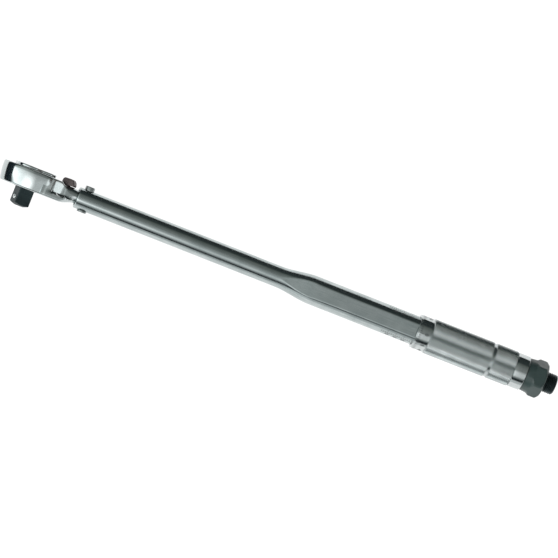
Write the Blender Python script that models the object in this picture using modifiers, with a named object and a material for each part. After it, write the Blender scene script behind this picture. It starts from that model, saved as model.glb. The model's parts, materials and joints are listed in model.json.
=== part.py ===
"""Click torque wrench with a 1/2 inch square drive, as an assembly of separate pieces.

The tool lies along +X with its square drive pointing along -Y and its reversing
lever on the +Y side. All the sizes below are in millimetres. "Along" values are
distances from the drive axis, measured towards the grip; "lift" values are heights
above the tool axis, measured away from the square (+Y).
"""
import math

import bmesh
import bpy
from mathutils import Matrix, Vector

MM = 0.001
GAP = 0.3                      # clearance between pieces that would touch
TURN_STEPS = 36                # facets round a large turned piece
FINE_STEPS = 20                # facets round a small turned piece
OVERSHOOT = 2.0                # how far a cutter reaches past the face it opens
CROSS_REACH = 15.0             # half the length of a cutter that goes right through the tool
EDGE = 0.5                     # chamfer on turned edges

# Square drive and its gear
SQUARE = 12.7
SQUARE_REACH = 14.9
SQUARE_CORNER = 1.3
SQUARE_CHAMFER = 0.9
DRIVE_REST_DEG = 15.7
GEAR_TEETH = 36
GEAR_TIP_RADIUS = 12.9
TOOTH_HEIGHT = 1.0
GEAR_BOSS_RADIUS = 10.0
GEAR_TOP = 2.9
POINTS_PER_TOOTH = 4
BALL_RADIUS = 2.35
BALL_PROUD = 1.0
BALL_DROP = 8.5
BALL_SPRING_COIL = 1.8
BALL_SPRING_WIRE = 0.3
BALL_SPRING_TURNS = 4
BALL_SPRING_LENGTH = 4.4

# Head casing
HEAD_RADIUS = 24.0
HEAD_TOP = 7.8
HEAD_BOTTOM = -8.9
HEAD_FLOOR = 3.1
HEAD_EDGE_ROUND = 1.6
HEAD_UNDER_ROUND = 3.0
COVER_RADIUS = 14.4
COVER_LOBE = 5.9
COVER_THICKNESS = 2.1
COVER_SCREW_CIRCLE = 17.0
COVER_SCREW_DEG = (0.0, 115.0, -115.0)
COVER_SCREW_RADIUS = 1.25
COVER_SCREW_HEAD = 2.3
COVER_SCREW_DEPTH = 2.5
COVER_LOBE_HALF_DEG = 34.0
COVER_STEPS = 72
COVER_EDGE = 0.35
SLOT_DEPTH = 0.6
SLOT_HALF_WIDTH = 0.3

# Neck and lever arm of the head
NECK_LOW = 6.3
ARM_COLLAR_RADIUS = 5.7
ARM_RADIUS = 5.2
ARM_END = 88.0

# Pawl and reversing lever
PAWL_PIVOT = GEAR_TIP_RADIUS + 6.9
PAWL_PIN_RADIUS = 2.0
PAWL_FRONT_GAP = 0.8
PAWL_SPAN_DEG = 25.0
PAWL_ROCK_DEG = 3.0
PAWL_BACK = 4.2
PAWL_BACK_PROFILE = ((-4.4, -6.6), (-1.2, -6.6), (PAWL_BACK - 0.5, -2.4), (PAWL_BACK, 0.0),
                     (PAWL_BACK - 0.5, 2.4), (-1.2, 6.6), (-4.4, 6.6))   # measured from the pivot
PAWL_TOOTH_SHARE = 0.8
PAWL_STEPS = 20
PAWL_PIN_RISE = 1.4
ROOM_HALF_WIDTH = 7.4
LEVER_PIVOT = HEAD_RADIUS + 6.4
LEVER_SWING_DEG = 24.0
LEVER_TOP = 12.0
LEVER_REACH = 7.5
LEVER_BACK = 3.8
LEVER_HALF_WIDTH = 3.4
POST_RADIUS = 3.4
POST_FOOT = -3.6
LEVER_PLUNGER_RADIUS = 1.1
LEVER_PLUNGER_GAP = 0.9
LEVER_PLUNGER_BACK = 1.9
LEVER_BORE_END = 1.9
LEVER_TOP_ROUND = 2.2
LEVER_EDGE = 0.5
LEVER_SPRING_COIL = 0.8
LEVER_SPRING_WIRE = 0.2
LEVER_SPRING_TURNS = 5

# Tube
TUBE_MOUTH = HEAD_RADIUS + 17.6
TUBE_END = 378.0
TUBE_RADIUS = 8.8
TUBE_BORE = 7.2
REAR_RADIUS = 12.0
REAR_BORE = 9.3
FLARE_START = 219.6
FLARE_END = 246.0
FLARE_STEPS = 6
REAR_BORE_START = 252.0
FLAT_HALF_HEIGHT = 10.5        # the flats rise to this height from just under the front tube's radius
FLAT_START = 218.6
FLAT_FULL = 262.0
FLAT_START_DEPTH = 0.1

# Head pivot
PIVOT = HEAD_RADIUS + 25.6
PIVOT_RADIUS = 3.0
PIVOT_HEAD_RADIUS = 4.0
PIVOT_HEAD_HEIGHT = 2.8
PIVOT_CAP_HEIGHT = 1.2
PIVOT_HEAD_EDGE = 0.7
PIVOT_CAP_EDGE = 0.5

# Click mechanism
BLOCK_LENGTH = 7.4
BLOCK_HALF_WIDTH = 3.0
PLUNGER_LENGTH = 20.0
SPIGOT_CLEARANCE = 0.4
SPIGOT_LENGTH = 8.0
SPRING_WIRE = 3.0
SPRING_COIL_RADIUS = 5.0
SPRING_TURNS = 12
SPRING_LENGTH = 105.0
SEAT_LENGTH = 10.0
THRUST_BALL_RADIUS = 2.5
BALL_SEAT_DEPTH = 2.0

# Adjusting screw and handle
ROD_RADIUS = 3.6
THREAD_RADIUS = 4.6
THREAD_START = 300.0
SCREW_PAST_PIN = 8.0
NUT_START = 350.0
NUT_LENGTH = 16.0
NUT_PIN_RADIUS = 1.5
NUT_PIN_WALL = 1.2
SCREW_HUB_STEP = 0.6
SLEEVE_RADIUS = 14.8
COLLAR_START = 340.4
COLLAR_LENGTH = 11.4
COLLAR_RADIUS = 14.2
SLEEVE_END = 426.3
SPIGOT_WALL = 0.8
COLLAR_LAP = 5.7
GROOVE_START = 404.8
GROOVE_WIDTH = 2.6
GROOVE_DEPTH = 0.6
HUB_START = 408.9
RING_RADIUS = 14.4
RING_END = 436.8
HUB_PIN_ALONG = 416.0
HUB_PIN_RADIUS = 1.5
SEAL_ALONG = 360.0
SEAL_WIRE = 0.4
GRUB_RADIUS = 1.0
GRUB_DEG = (150.0, 210.0)

# Stud and lock nut
STUD_RADIUS = 8.5
STUD_END = 464.0
STUD_ROOT_RADIUS = 6.0
STUD_ROOT_LENGTH = 11.0
NUT_BACK = 453.9
STUD_END_ROUND = 2.2
NUT_LIP_RADIUS = 13.6
NUT_WAIST_RADIUS = 14.2
NUT_WAIST = 6.4
NUT_FLARE = 2.2
NUT_CORNER_RADIUS = 15.9
NUT_ACROSS_FLATS = 27.8
NUT_CORNER_DEG = 37.1          # where a corner stands, from +Z towards +Y
NUT_BACK_CHAMFER = 2.6
NUT_STEPS = 72
WASHER_RADIUS = 12.3
WASHER_THICKNESS = 1.2
KEY_WIDTH = 2.6
KEY_DEPTH = 1.0
KEYWAY_OVERRUN = 3.0

# The origin is the centre of the square's end face
TOOL_AXIS_LIFT = SQUARE_REACH - HEAD_BOTTOM
SLEEVE_BORE = REAR_RADIUS + GAP
SLEEVE_START = COLLAR_START + COLLAR_LENGTH + GAP
HUB_RADIUS = SLEEVE_BORE - GAP
HUB_END = RING_END - 0.5
COVER_TOP = HEAD_TOP + GAP + COVER_THICKNESS

# Places and clearances that follow from the sizes above
POCKET_RADIUS = GEAR_TIP_RADIUS + GAP
POCKET_FLOOR = HEAD_BOTTOM + HEAD_FLOOR
ROCKER_FLOOR = POCKET_FLOOR + GAP
ROCKER_ROOF = GEAR_TOP
PAWL_BORE = PAWL_PIN_RADIUS + GAP
PAWL_PIN_TOP = GEAR_TOP + PAWL_PIN_RISE
SCREW_HOLE = COVER_SCREW_RADIUS + GAP
BALL_LIFT = HEAD_BOTTOM - BALL_DROP
BALL_OUT = SQUARE / 2 + BALL_PROUD - BALL_RADIUS
BALL_HOLE_END = BALL_OUT - BALL_RADIUS - GAP - BALL_SPRING_LENGTH - GAP
PAWL_MIDDLE = (ROCKER_FLOOR + ROCKER_ROOF) / 2
BLOCK_START = ARM_END + GAP
PLUNGER_START = BLOCK_START + BLOCK_LENGTH + GAP
PISTON_RADIUS = TUBE_BORE - GAP
SPIGOT_RADIUS = SPRING_COIL_RADIUS - SPRING_WIRE / 2 - SPIGOT_CLEARANCE
PLUNGER_SHOULDER = PLUNGER_START + PLUNGER_LENGTH
SPRING_START = PLUNGER_SHOULDER + GAP
SEAT_START = SPRING_START + SPRING_LENGTH + GAP
SEAT_BACK = SEAT_START + SEAT_LENGTH
THRUST_BALL = SEAT_BACK - BALL_SEAT_DEPTH + GAP + THRUST_BALL_RADIUS
SCREW_START = THRUST_BALL + THRUST_BALL_RADIUS + GAP
SCREW_END = HUB_PIN_ALONG + SCREW_PAST_PIN
NUT_MIDDLE = NUT_START + NUT_LENGTH / 2
STUD_START = HUB_END + GAP
NUT_FRONT = RING_END + GAP
WASHER_START = NUT_FRONT + GAP
WASHER_END = WASHER_START + WASHER_THICKNESS


def empty_scene():
    """Remove every object that the scene starts with."""
    for item in list(bpy.data.objects):
        bpy.data.objects.remove(item, do_unlink=True)


def new_collection(name):
    """Return a new collection linked to the scene."""
    result = bpy.data.collections.new(name)
    bpy.context.scene.collection.children.link(result)
    return result


empty_scene()
PIECES = new_collection("torque_wrench")
CUTTERS = new_collection("cutters")


def finish(name, color, roughness, metallic):
    """Return a Principled material."""
    result = bpy.data.materials.new(name)
    result.use_nodes = True
    shader = result.node_tree.nodes["Principled BSDF"]
    shader.inputs["Base Color"].default_value = (*color, 1.0)
    shader.inputs["Roughness"].default_value = roughness
    shader.inputs["Metallic"].default_value = metallic
    return result


CHROME = ("chrome", (0.62, 0.65, 0.65), 0.16, 1.0)
BRIGHT_STEEL = ("bright_steel", (0.52, 0.54, 0.54), 0.3, 1.0)
BLACK_OXIDE = ("black_oxide", (0.035, 0.045, 0.047), 0.42, 0.9)
SPRING_STEEL = ("spring_steel", (0.25, 0.26, 0.27), 0.35, 1.0)
BRONZE = ("bronze", (0.42, 0.29, 0.13), 0.35, 1.0)
CAST_BROWN = ("cast_lever", (0.16, 0.14, 0.14), 0.5, 0.6)
SATIN_GREEN = ("satin_moulding", (0.06, 0.09, 0.088), 0.45, 0.0)
RUBBER = ("rubber", (0.02, 0.02, 0.02), 0.7, 0.0)


# A piece made about Z lies along +X or along +Y after the first two turns, and stays put after the last
ALONG_TOOL = Matrix.Rotation(math.radians(90.0), 4, "Y")
ALONG_DRIVE = Matrix.Rotation(math.radians(-90.0), 4, "X")
UPRIGHT = Matrix.Identity(4)


def add_object(name, mesh, collection=None, turn=UPRIGHT, place=(0.0, 0.0, 0.0)):
    """Link a mesh as a named object, with its turn baked into the mesh."""
    mesh.transform(Matrix.Translation(Vector(place) * MM) @ turn)
    item = bpy.data.objects.new(name, mesh)
    (collection or PIECES).objects.link(item)
    if collection is CUTTERS:
        item.hide_render = True
        item.display_type = "WIRE"
    return item


def turned(name, profile, turn=ALONG_TOOL, collection=None, ring=False,
           steps=TURN_STEPS, place=(0.0, 0.0, 0.0)):
    """Turn a profile of (radius, along) points, given in order of rising along.

    A solid's profile starts and ends on the axis. A ring's profile is a closed loop:
    its outer side first, then its bore back to the start.
    """
    mesh = bpy.data.meshes.new(name)
    points = [(radius * MM, 0.0, along * MM) for radius, along in reversed(profile)]
    edges = [(i, i + 1) for i in range(len(points) - 1)]
    if ring:
        edges.append((len(points) - 1, 0))
    mesh.from_pydata(points, edges, [])
    item = bpy.data.objects.new(name, mesh)
    (collection or PIECES).objects.link(item)
    screw = item.modifiers.new("turn", "SCREW")
    screw.axis = "Z"
    screw.steps = steps
    screw.render_steps = steps
    screw.use_merge_vertices = True
    screw.merge_threshold = 0.00001
    screw.use_smooth_shade = True
    item.matrix_world = Matrix.Translation(Vector(place) * MM) @ turn
    if collection is CUTTERS:
        item.hide_render = True
        item.display_type = "WIRE"
    return item


def rod(name, radius, start, end, turn=ALONG_TOOL, place=(0.0, 0.0, 0.0),
        collection=None, steps=FINE_STEPS):
    """Return a plain cylinder from start to end along its axis."""
    bm = bmesh.new()
    bmesh.ops.create_cone(
        bm, cap_ends=True, segments=steps, radius1=radius * MM, radius2=radius * MM,
        depth=(end - start) * MM,
        matrix=Matrix.Translation((0.0, 0.0, (start + end) / 2 * MM)))
    mesh = bpy.data.meshes.new(name)
    bm.to_mesh(mesh)
    bm.free()
    mesh.shade_smooth()
    mesh.set_sharp_from_angle(angle=math.radians(35.0))
    return add_object(name, mesh, collection, turn, place)


def box(name, low, high, collection=None):
    """Return a box between two corners."""
    bm = bmesh.new()
    bmesh.ops.create_cube(bm, size=1.0)
    size = [(b - a) * MM for a, b in zip(low, high)]
    middle = [(a + b) / 2 * MM for a, b in zip(low, high)]
    bmesh.ops.transform(
        bm, matrix=Matrix.Translation(middle) @ Matrix.Diagonal((*size, 1.0)), verts=bm.verts)
    mesh = bpy.data.meshes.new(name)
    bm.to_mesh(mesh)
    bm.free()
    return add_object(name, mesh, collection)


def plate(name, outline, start, end, turn=UPRIGHT, place=(0.0, 0.0, 0.0), collection=None):
    """Extrude a flat outline of (x, y) points between two heights."""
    bm = bmesh.new()
    face = bm.faces.new([bm.verts.new((x * MM, y * MM, start * MM)) for x, y in outline])
    grown = bmesh.ops.extrude_face_region(bm, geom=[face])
    raised = [item for item in grown["geom"] if isinstance(item, bmesh.types.BMVert)]
    bmesh.ops.translate(bm, verts=raised, vec=(0.0, 0.0, (end - start) * MM))
    bmesh.ops.recalc_face_normals(bm, faces=bm.faces)
    mesh = bpy.data.meshes.new(name)
    bm.to_mesh(mesh)
    bm.free()
    return add_object(name, mesh, collection, turn, place)


def ball(name, radius, place):
    """Return a sphere."""
    bm = bmesh.new()
    bmesh.ops.create_icosphere(bm, subdivisions=3, radius=radius * MM)
    mesh = bpy.data.meshes.new(name)
    bm.to_mesh(mesh)
    bm.free()
    mesh.shade_smooth()
    return add_object(name, mesh, None, UPRIGHT, place)


def coil(name, coil_radius, wire_radius, turns, start, end, turn=ALONG_TOOL,
         place=(0.0, 0.0, 0.0), per_turn=10):
    """Return a coil spring wound between start and end along its axis."""
    curve = bpy.data.curves.new(name, "CURVE")
    curve.dimensions = "3D"
    curve.bevel_depth = wire_radius * MM
    curve.bevel_resolution = 1
    curve.use_fill_caps = True
    count = turns * per_turn + 1
    spline = curve.splines.new("POLY")
    spline.points.add(count - 1)
    first, last = start + wire_radius, end - wire_radius
    for i, point in enumerate(spline.points):
        angle = 2 * math.pi * i / per_turn
        along = first + (last - first) * i / (count - 1)
        point.co = (coil_radius * math.cos(angle) * MM, coil_radius * math.sin(angle) * MM,
                    along * MM, 1.0)
    item = bpy.data.objects.new(name, curve)
    PIECES.objects.link(item)
    item.matrix_world = Matrix.Translation(Vector(place) * MM) @ turn
    return item


def hang(item, parent):
    """Parent an item and keep it where it is."""
    bpy.context.view_layer.update()
    item.parent = parent
    item.matrix_parent_inverse = parent.matrix_world.inverted()


def combine(item, other, operation="DIFFERENCE"):
    """Cut another solid out of an item, join it on or keep what they share.

    The other solid is hung on the item, so the cut stays in place when the item moves.
    """
    hang(other, item)
    change = item.modifiers.new(other.name, "BOOLEAN")
    change.operation = operation
    change.solver = "EXACT"
    change.object = other


def dress(item, look):
    """Give a piece its own material."""
    name, color, roughness, metallic = look
    item.data.materials.append(finish(f"{item.name}_{name}", color, roughness, metallic))


def arc(center, radius, from_deg, to_deg, count):
    """Return points along an arc, both ends included."""
    angles = [math.radians(from_deg + (to_deg - from_deg) * i / count) for i in range(count + 1)]
    return [(center[0] + radius * math.cos(a), center[1] + radius * math.sin(a)) for a in angles]


def rounded_section(along, top, bottom, half_width, corner, per_corner=4):
    """Return a rounded rectangle across the tool, as (x, y, z) points in mm."""
    corner = min(corner, half_width, (top - bottom) / 2)
    loop = []
    for lift, side, start in ((top - corner, half_width - corner, 0.0),
                              (bottom + corner, half_width - corner, -90.0),
                              (bottom + corner, corner - half_width, -180.0),
                              (top - corner, corner - half_width, -270.0)):
        for i in range(per_corner + 1):
            angle = math.radians(90.0 + start - 90.0 * i / per_corner)
            loop.append((along, lift + corner * math.sin(angle), side + corner * math.cos(angle)))
    return loop


def loft(name, sections, collection=None, ring=False):
    """Skin a row of sections that have equal numbers of points.

    A ring's last section joins its first, and anything else is capped at both ends.
    """
    bm = bmesh.new()
    rings = [[bm.verts.new(Vector(point) * MM) for point in section] for section in sections]
    for near, far in zip(rings, rings[1:] + (rings[:1] if ring else [])):
        for i in range(len(near)):
            j = (i + 1) % len(near)
            bm.faces.new((near[i], near[j], far[j], far[i]))
    if not ring:
        bm.faces.new(rings[0])
        bm.faces.new(rings[-1])
    bmesh.ops.recalc_face_normals(bm, faces=bm.faces)
    mesh = bpy.data.meshes.new(name)
    bm.to_mesh(mesh)
    bm.free()
    return add_object(name, mesh, collection)


def polar(angle_deg, radius):
    """Return (x, z) at an angle from +X towards +Z."""
    return radius * math.cos(math.radians(angle_deg)), radius * math.sin(math.radians(angle_deg))


def saw_tooth(angle_deg, teeth):
    """Return 1 at a tooth's tip and 0 at the root between teeth."""
    phase = (angle_deg * teeth / 360.0) % 1.0
    return abs(2.0 * phase - 1.0)


# ---------------------------------------------------------------- head and ratchet

def head_casing():
    """Return the round head with its neck and the arm that reaches into the tube."""
    edge = arc((HEAD_RADIUS - HEAD_EDGE_ROUND, HEAD_TOP - HEAD_EDGE_ROUND), HEAD_EDGE_ROUND, 0, 90, 3)
    under = arc((HEAD_RADIUS - HEAD_UNDER_ROUND, HEAD_BOTTOM + HEAD_UNDER_ROUND),
                HEAD_UNDER_ROUND, -80, 0, 4)
    disc = turned("head_casing", [(0, HEAD_BOTTOM), *under, *edge, (0, HEAD_TOP)],
                  ALONG_DRIVE, steps=48)
    collar = ARM_COLLAR_RADIUS
    arm = loft("neck_body", [
        rounded_section(6.0, HEAD_TOP - 0.4, HEAD_BOTTOM + 0.4, 12.5, 3.0),
        rounded_section(HEAD_RADIUS - 2.6, HEAD_TOP - 0.15, HEAD_BOTTOM + 0.15, 11.0, 4.0),
        rounded_section(HEAD_RADIUS + 0.6, NECK_LOW, HEAD_BOTTOM + 0.2, 10.2, 4.0),
        rounded_section(HEAD_RADIUS + 5.7, NECK_LOW, HEAD_BOTTOM + 0.4, 9.0, 4.5),
        rounded_section(HEAD_RADIUS + 13.6, NECK_LOW, -collar - 0.9, 6.8, 5.0),
        rounded_section(HEAD_RADIUS + 16.4, collar, -collar, collar, collar),
        rounded_section(PIVOT + 7.4, collar, -collar, collar, collar),
        rounded_section(PIVOT + 9.4, ARM_RADIUS, -ARM_RADIUS, ARM_RADIUS, ARM_RADIUS),
        rounded_section(ARM_END, ARM_RADIUS, -ARM_RADIUS, ARM_RADIUS, ARM_RADIUS),
    ], CUTTERS)
    combine(disc, arm, "UNION")
    cuts = [
        rod("gear_pocket", POCKET_RADIUS, POCKET_FLOOR, HEAD_TOP + OVERSHOOT, ALONG_DRIVE,
            collection=CUTTERS, steps=48),
        rod("drive_hole", GEAR_BOSS_RADIUS + GAP, HEAD_BOTTOM - OVERSHOOT, POCKET_FLOOR + OVERSHOOT,
            ALONG_DRIVE, collection=CUTTERS, steps=TURN_STEPS),
        pawl_pocket(),
        rod("pawl_pin_hole", PAWL_BORE, HEAD_BOTTOM - OVERSHOOT, PAWL_PIN_TOP + GAP, ALONG_DRIVE,
            (PAWL_PIVOT, 0, 0), CUTTERS),
        rod("post_hole", POST_RADIUS + GAP, POST_FOOT - GAP, NECK_LOW + OVERSHOOT, ALONG_DRIVE,
            (LEVER_PIVOT, 0, 0), CUTTERS),
        rod("pivot_hole", PIVOT_RADIUS + GAP, -CROSS_REACH, CROSS_REACH, ALONG_DRIVE, (PIVOT, 0, 0),
            CUTTERS),
    ]
    for index, angle in enumerate(COVER_SCREW_DEG, 1):
        x, z = polar(angle, COVER_SCREW_CIRCLE)
        cuts.append(rod(f"screw_hole_{index}", SCREW_HOLE, HEAD_TOP - COVER_SCREW_DEPTH - GAP,
                        HEAD_TOP + OVERSHOOT, ALONG_DRIVE, (x, 0, z), CUTTERS))
    for cut in cuts:
        combine(disc, cut)
    dress(disc, CHROME)
    return disc


def pawl_pocket():
    """Return the cutter for the pawl's room, which opens into the gear pocket."""
    mouth, wide, narrow = POCKET_RADIUS - 3.2, ROOM_HALF_WIDTH, ROOM_HALF_WIDTH - 3.0
    slot = POST_RADIUS - 0.1
    outline = [(mouth, -wide), (PAWL_PIVOT + 0.6, -wide), (LEVER_PIVOT - 3.0, -narrow),
               (LEVER_PIVOT, -slot), (LEVER_PIVOT, slot), (LEVER_PIVOT - 3.0, narrow),
               (PAWL_PIVOT + 0.6, wide), (mouth, wide)]
    return plate("pawl_room", [(x, -z) for x, z in outline], ROCKER_FLOOR, ROCKER_ROOF,
                 ALONG_DRIVE, collection=CUTTERS)


def cover_outline():
    """Return the cover's outline: a disc with a rounded lobe at each screw."""
    points = []
    for step in range(COVER_STEPS):
        angle = 360.0 * step / COVER_STEPS
        reach = 0.0
        for lobe in COVER_SCREW_DEG:
            away = abs((angle - lobe + 180.0) % 360.0 - 180.0) / COVER_LOBE_HALF_DEG
            if away < 1.0:
                reach = max(reach, math.cos(math.radians(90.0 * away)) ** 2)
        points.append(polar(angle, COVER_RADIUS + COVER_LOBE * reach))
    return points


def head_cover():
    """Return the cover plate with its countersunk screw holes."""
    low = HEAD_TOP + GAP
    cover = plate("head_cover", [(x, -z) for x, z in cover_outline()], low, COVER_TOP, ALONG_DRIVE)
    soften = cover.modifiers.new("edge", "BEVEL")
    soften.width = COVER_EDGE * MM
    soften.segments = 1
    soften.limit_method = "ANGLE"
    soften.angle_limit = math.radians(50.0)
    for index, angle in enumerate(COVER_SCREW_DEG, 1):
        x, z = polar(angle, COVER_SCREW_CIRCLE)
        head = COVER_SCREW_HEAD + GAP
        sink = turned(f"countersink_{index}", [
            (0, low - OVERSHOOT), (SCREW_HOLE, low - OVERSHOOT),
            (SCREW_HOLE, COVER_TOP - head + SCREW_HOLE), (head, COVER_TOP),
            (head, COVER_TOP + OVERSHOOT), (0, COVER_TOP + OVERSHOOT),
        ], ALONG_DRIVE, CUTTERS, steps=FINE_STEPS, place=(x, 0, z))
        combine(cover, sink)
    dress(cover, CHROME)
    return cover


def cover_screws():
    """Return the countersunk screws of the cover, each with a slot."""
    screws = []
    for index, angle in enumerate(COVER_SCREW_DEG, 1):
        x, z = polar(angle, COVER_SCREW_CIRCLE)
        top = COVER_TOP - 0.1
        neck = top - COVER_SCREW_HEAD + COVER_SCREW_RADIUS
        foot = HEAD_TOP - COVER_SCREW_DEPTH
        screw = turned(f"cover_screw_{index}", [
            (0, foot), (COVER_SCREW_RADIUS, foot), (COVER_SCREW_RADIUS, neck),
            (COVER_SCREW_HEAD, top), (0, top),
        ], ALONG_DRIVE, steps=FINE_STEPS, place=(x, 0, z))
        slot = box(f"slot_{index}",
                   (x - COVER_SCREW_HEAD - 1, top - SLOT_DEPTH, z - SLOT_HALF_WIDTH),
                   (x + COVER_SCREW_HEAD + 1, top + OVERSHOOT, z + SLOT_HALF_WIDTH), CUTTERS)
        combine(screw, slot)
        dress(screw, BLACK_OXIDE)
        screws.append(screw)
    return screws


def gear_bush():
    """Return the ring that keeps the gear down under the cover."""
    inner, outer = GEAR_BOSS_RADIUS + GAP, POCKET_RADIUS - GAP
    low, high = GEAR_TOP + GAP, HEAD_TOP - 0.1
    bush = turned("gear_bush", [(outer, low), (outer, high), (inner, high), (inner, low)],
                  ALONG_DRIVE, ring=True)
    dress(bush, BRONZE)
    return bush


def drive_gear():
    """Return the toothed drive gear in one piece with its square."""
    steps = GEAR_TEETH * POINTS_PER_TOOTH
    outline = []
    for step in range(steps):
        angle = 360.0 * step / steps
        radius = GEAR_TIP_RADIUS - TOOTH_HEIGHT * (1.0 - saw_tooth(angle, GEAR_TEETH))
        outline.append(polar(angle, radius))
    gear = plate("drive_gear", outline, POCKET_FLOOR + GAP, GEAR_TOP, ALONG_DRIVE)
    boss = rod("gear_boss", GEAR_BOSS_RADIUS, HEAD_BOTTOM - 0.2, HEAD_TOP - 0.2, ALONG_DRIVE,
               collection=CUTTERS, steps=36)
    half = SQUARE / 2
    corner = SQUARE_CORNER
    outline = []
    for cx, cy, start in ((1, 1, 0), (-1, 1, 90), (-1, -1, 180), (1, -1, 270)):
        outline += arc((cx * (half - corner), cy * (half - corner)), corner, start, start + 90, 3)
    square = plate("square_bar", outline, HEAD_BOTTOM - SQUARE_REACH, HEAD_BOTTOM + OVERSHOOT,
                   ALONG_DRIVE, collection=CUTTERS)
    chamfer = square.modifiers.new("end", "BEVEL")
    chamfer.width = SQUARE_CHAMFER * MM
    chamfer.segments = 2
    chamfer.limit_method = "ANGLE"
    chamfer.angle_limit = math.radians(60.0)
    combine(gear, boss, "UNION")
    combine(gear, square, "UNION")
    combine(gear, ball_hole())
    dress(gear, BLACK_OXIDE)
    return gear


def ball_hole():
    """Return the cutter for the detent ball's blind hole in the -X face of the square."""
    return rod("ball_hole", BALL_RADIUS + GAP, -SQUARE, -BALL_HOLE_END, ALONG_TOOL,
               (0, BALL_LIFT, 0), CUTTERS)


def detent():
    """Return the detent ball and the spring behind it."""
    sphere = ball("detent_ball", BALL_RADIUS, (-BALL_OUT, BALL_LIFT, 0))
    dress(sphere, CHROME)
    start = -BALL_OUT + BALL_RADIUS + GAP
    spring = coil("detent_spring", BALL_SPRING_COIL, BALL_SPRING_WIRE, BALL_SPRING_TURNS, start,
                  start + BALL_SPRING_LENGTH, ALONG_TOOL, (0, BALL_LIFT, 0))
    dress(spring, SPRING_STEEL)
    return sphere, spring


def pawl():
    """Return the double-ended pawl, whose teeth match the gear's pitch."""
    front = GEAR_TIP_RADIUS + PAWL_FRONT_GAP
    outline = []
    for step in range(PAWL_STEPS + 1):
        angle = PAWL_SPAN_DEG * (1.0 - 2.0 * step / PAWL_STEPS)
        tooth = TOOTH_HEIGHT * PAWL_TOOTH_SHARE * saw_tooth(angle, GEAR_TEETH)
        outline.append(polar(angle, front + tooth))
    outline += [(PAWL_PIVOT + x, z) for x, z in PAWL_BACK_PROFILE]
    item = plate("pawl", [(x, -z) for x, z in outline], ROCKER_FLOOR + GAP, ROCKER_ROOF - GAP,
                 ALONG_DRIVE)
    combine(item, rod("pawl_bore", PAWL_BORE, -CROSS_REACH, CROSS_REACH, ALONG_DRIVE,
                      (PAWL_PIVOT, 0, 0), CUTTERS))
    dress(item, BRIGHT_STEEL)
    return item


def pawl_pin():
    """Return the pin that the pawl rocks on."""
    pin = rod("pawl_pin", PAWL_PIN_RADIUS, HEAD_BOTTOM + 0.2, PAWL_PIN_TOP, ALONG_DRIVE,
              (PAWL_PIVOT, 0, 0))
    dress(pin, BRIGHT_STEEL)
    return pin


def reverse_lever():
    """Return the thumb lever in one piece with its post."""
    low = NECK_LOW + GAP
    back, reach = LEVER_PIVOT - LEVER_BACK, LEVER_PIVOT + LEVER_REACH
    side = [(back, low), (reach - 0.4, low), (reach, low + 0.9), (reach - 1.1, LEVER_TOP - 1.3)]
    for middle, from_deg, to_deg in ((reach - 3.4, 30, 90), (back + 2.6, 90, 170)):
        side += arc((middle, LEVER_TOP - LEVER_TOP_ROUND), LEVER_TOP_ROUND, from_deg, to_deg, 4)
    lever = plate("reverse_lever", side, -LEVER_HALF_WIDTH, LEVER_HALF_WIDTH)
    soften = lever.modifiers.new("edge", "BEVEL")
    soften.width = LEVER_EDGE * MM
    soften.segments = 2
    soften.limit_method = "ANGLE"
    soften.angle_limit = math.radians(40.0)
    post = rod("lever_post", POST_RADIUS, POST_FOOT, low + 1, ALONG_DRIVE, (LEVER_PIVOT, 0, 0),
               CUTTERS, 24)
    combine(lever, post, "UNION")
    combine(lever, rod("lever_bore", LEVER_PLUNGER_RADIUS + GAP, -CROSS_REACH, LEVER_BORE_END,
                       ALONG_TOOL, (LEVER_PIVOT, PAWL_MIDDLE, 0), CUTTERS, 16))
    dress(lever, CAST_BROWN)
    return lever


def lever_detent():
    """Return the sprung plunger in the lever's post that tips the pawl."""
    radius = LEVER_PLUNGER_RADIUS
    nose = PAWL_PIVOT + PAWL_BACK + LEVER_PLUNGER_GAP
    back = LEVER_PIVOT - LEVER_PLUNGER_BACK
    tip = arc((0, nose + radius), radius, -60, 0, 2)
    plunger = turned("lever_plunger", [(0, nose), *tip, (radius, back), (0, back)], steps=16,
                     place=(0, PAWL_MIDDLE, 0))
    dress(plunger, BRIGHT_STEEL)
    spring = coil("lever_spring", LEVER_SPRING_COIL, LEVER_SPRING_WIRE, LEVER_SPRING_TURNS, back + GAP,
                  LEVER_PIVOT + LEVER_BORE_END - GAP, ALONG_TOOL, (0, PAWL_MIDDLE, 0), per_turn=8)
    dress(spring, SPRING_STEEL)
    return plunger, spring


# ---------------------------------------------------------------- tube and click mechanism

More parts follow.
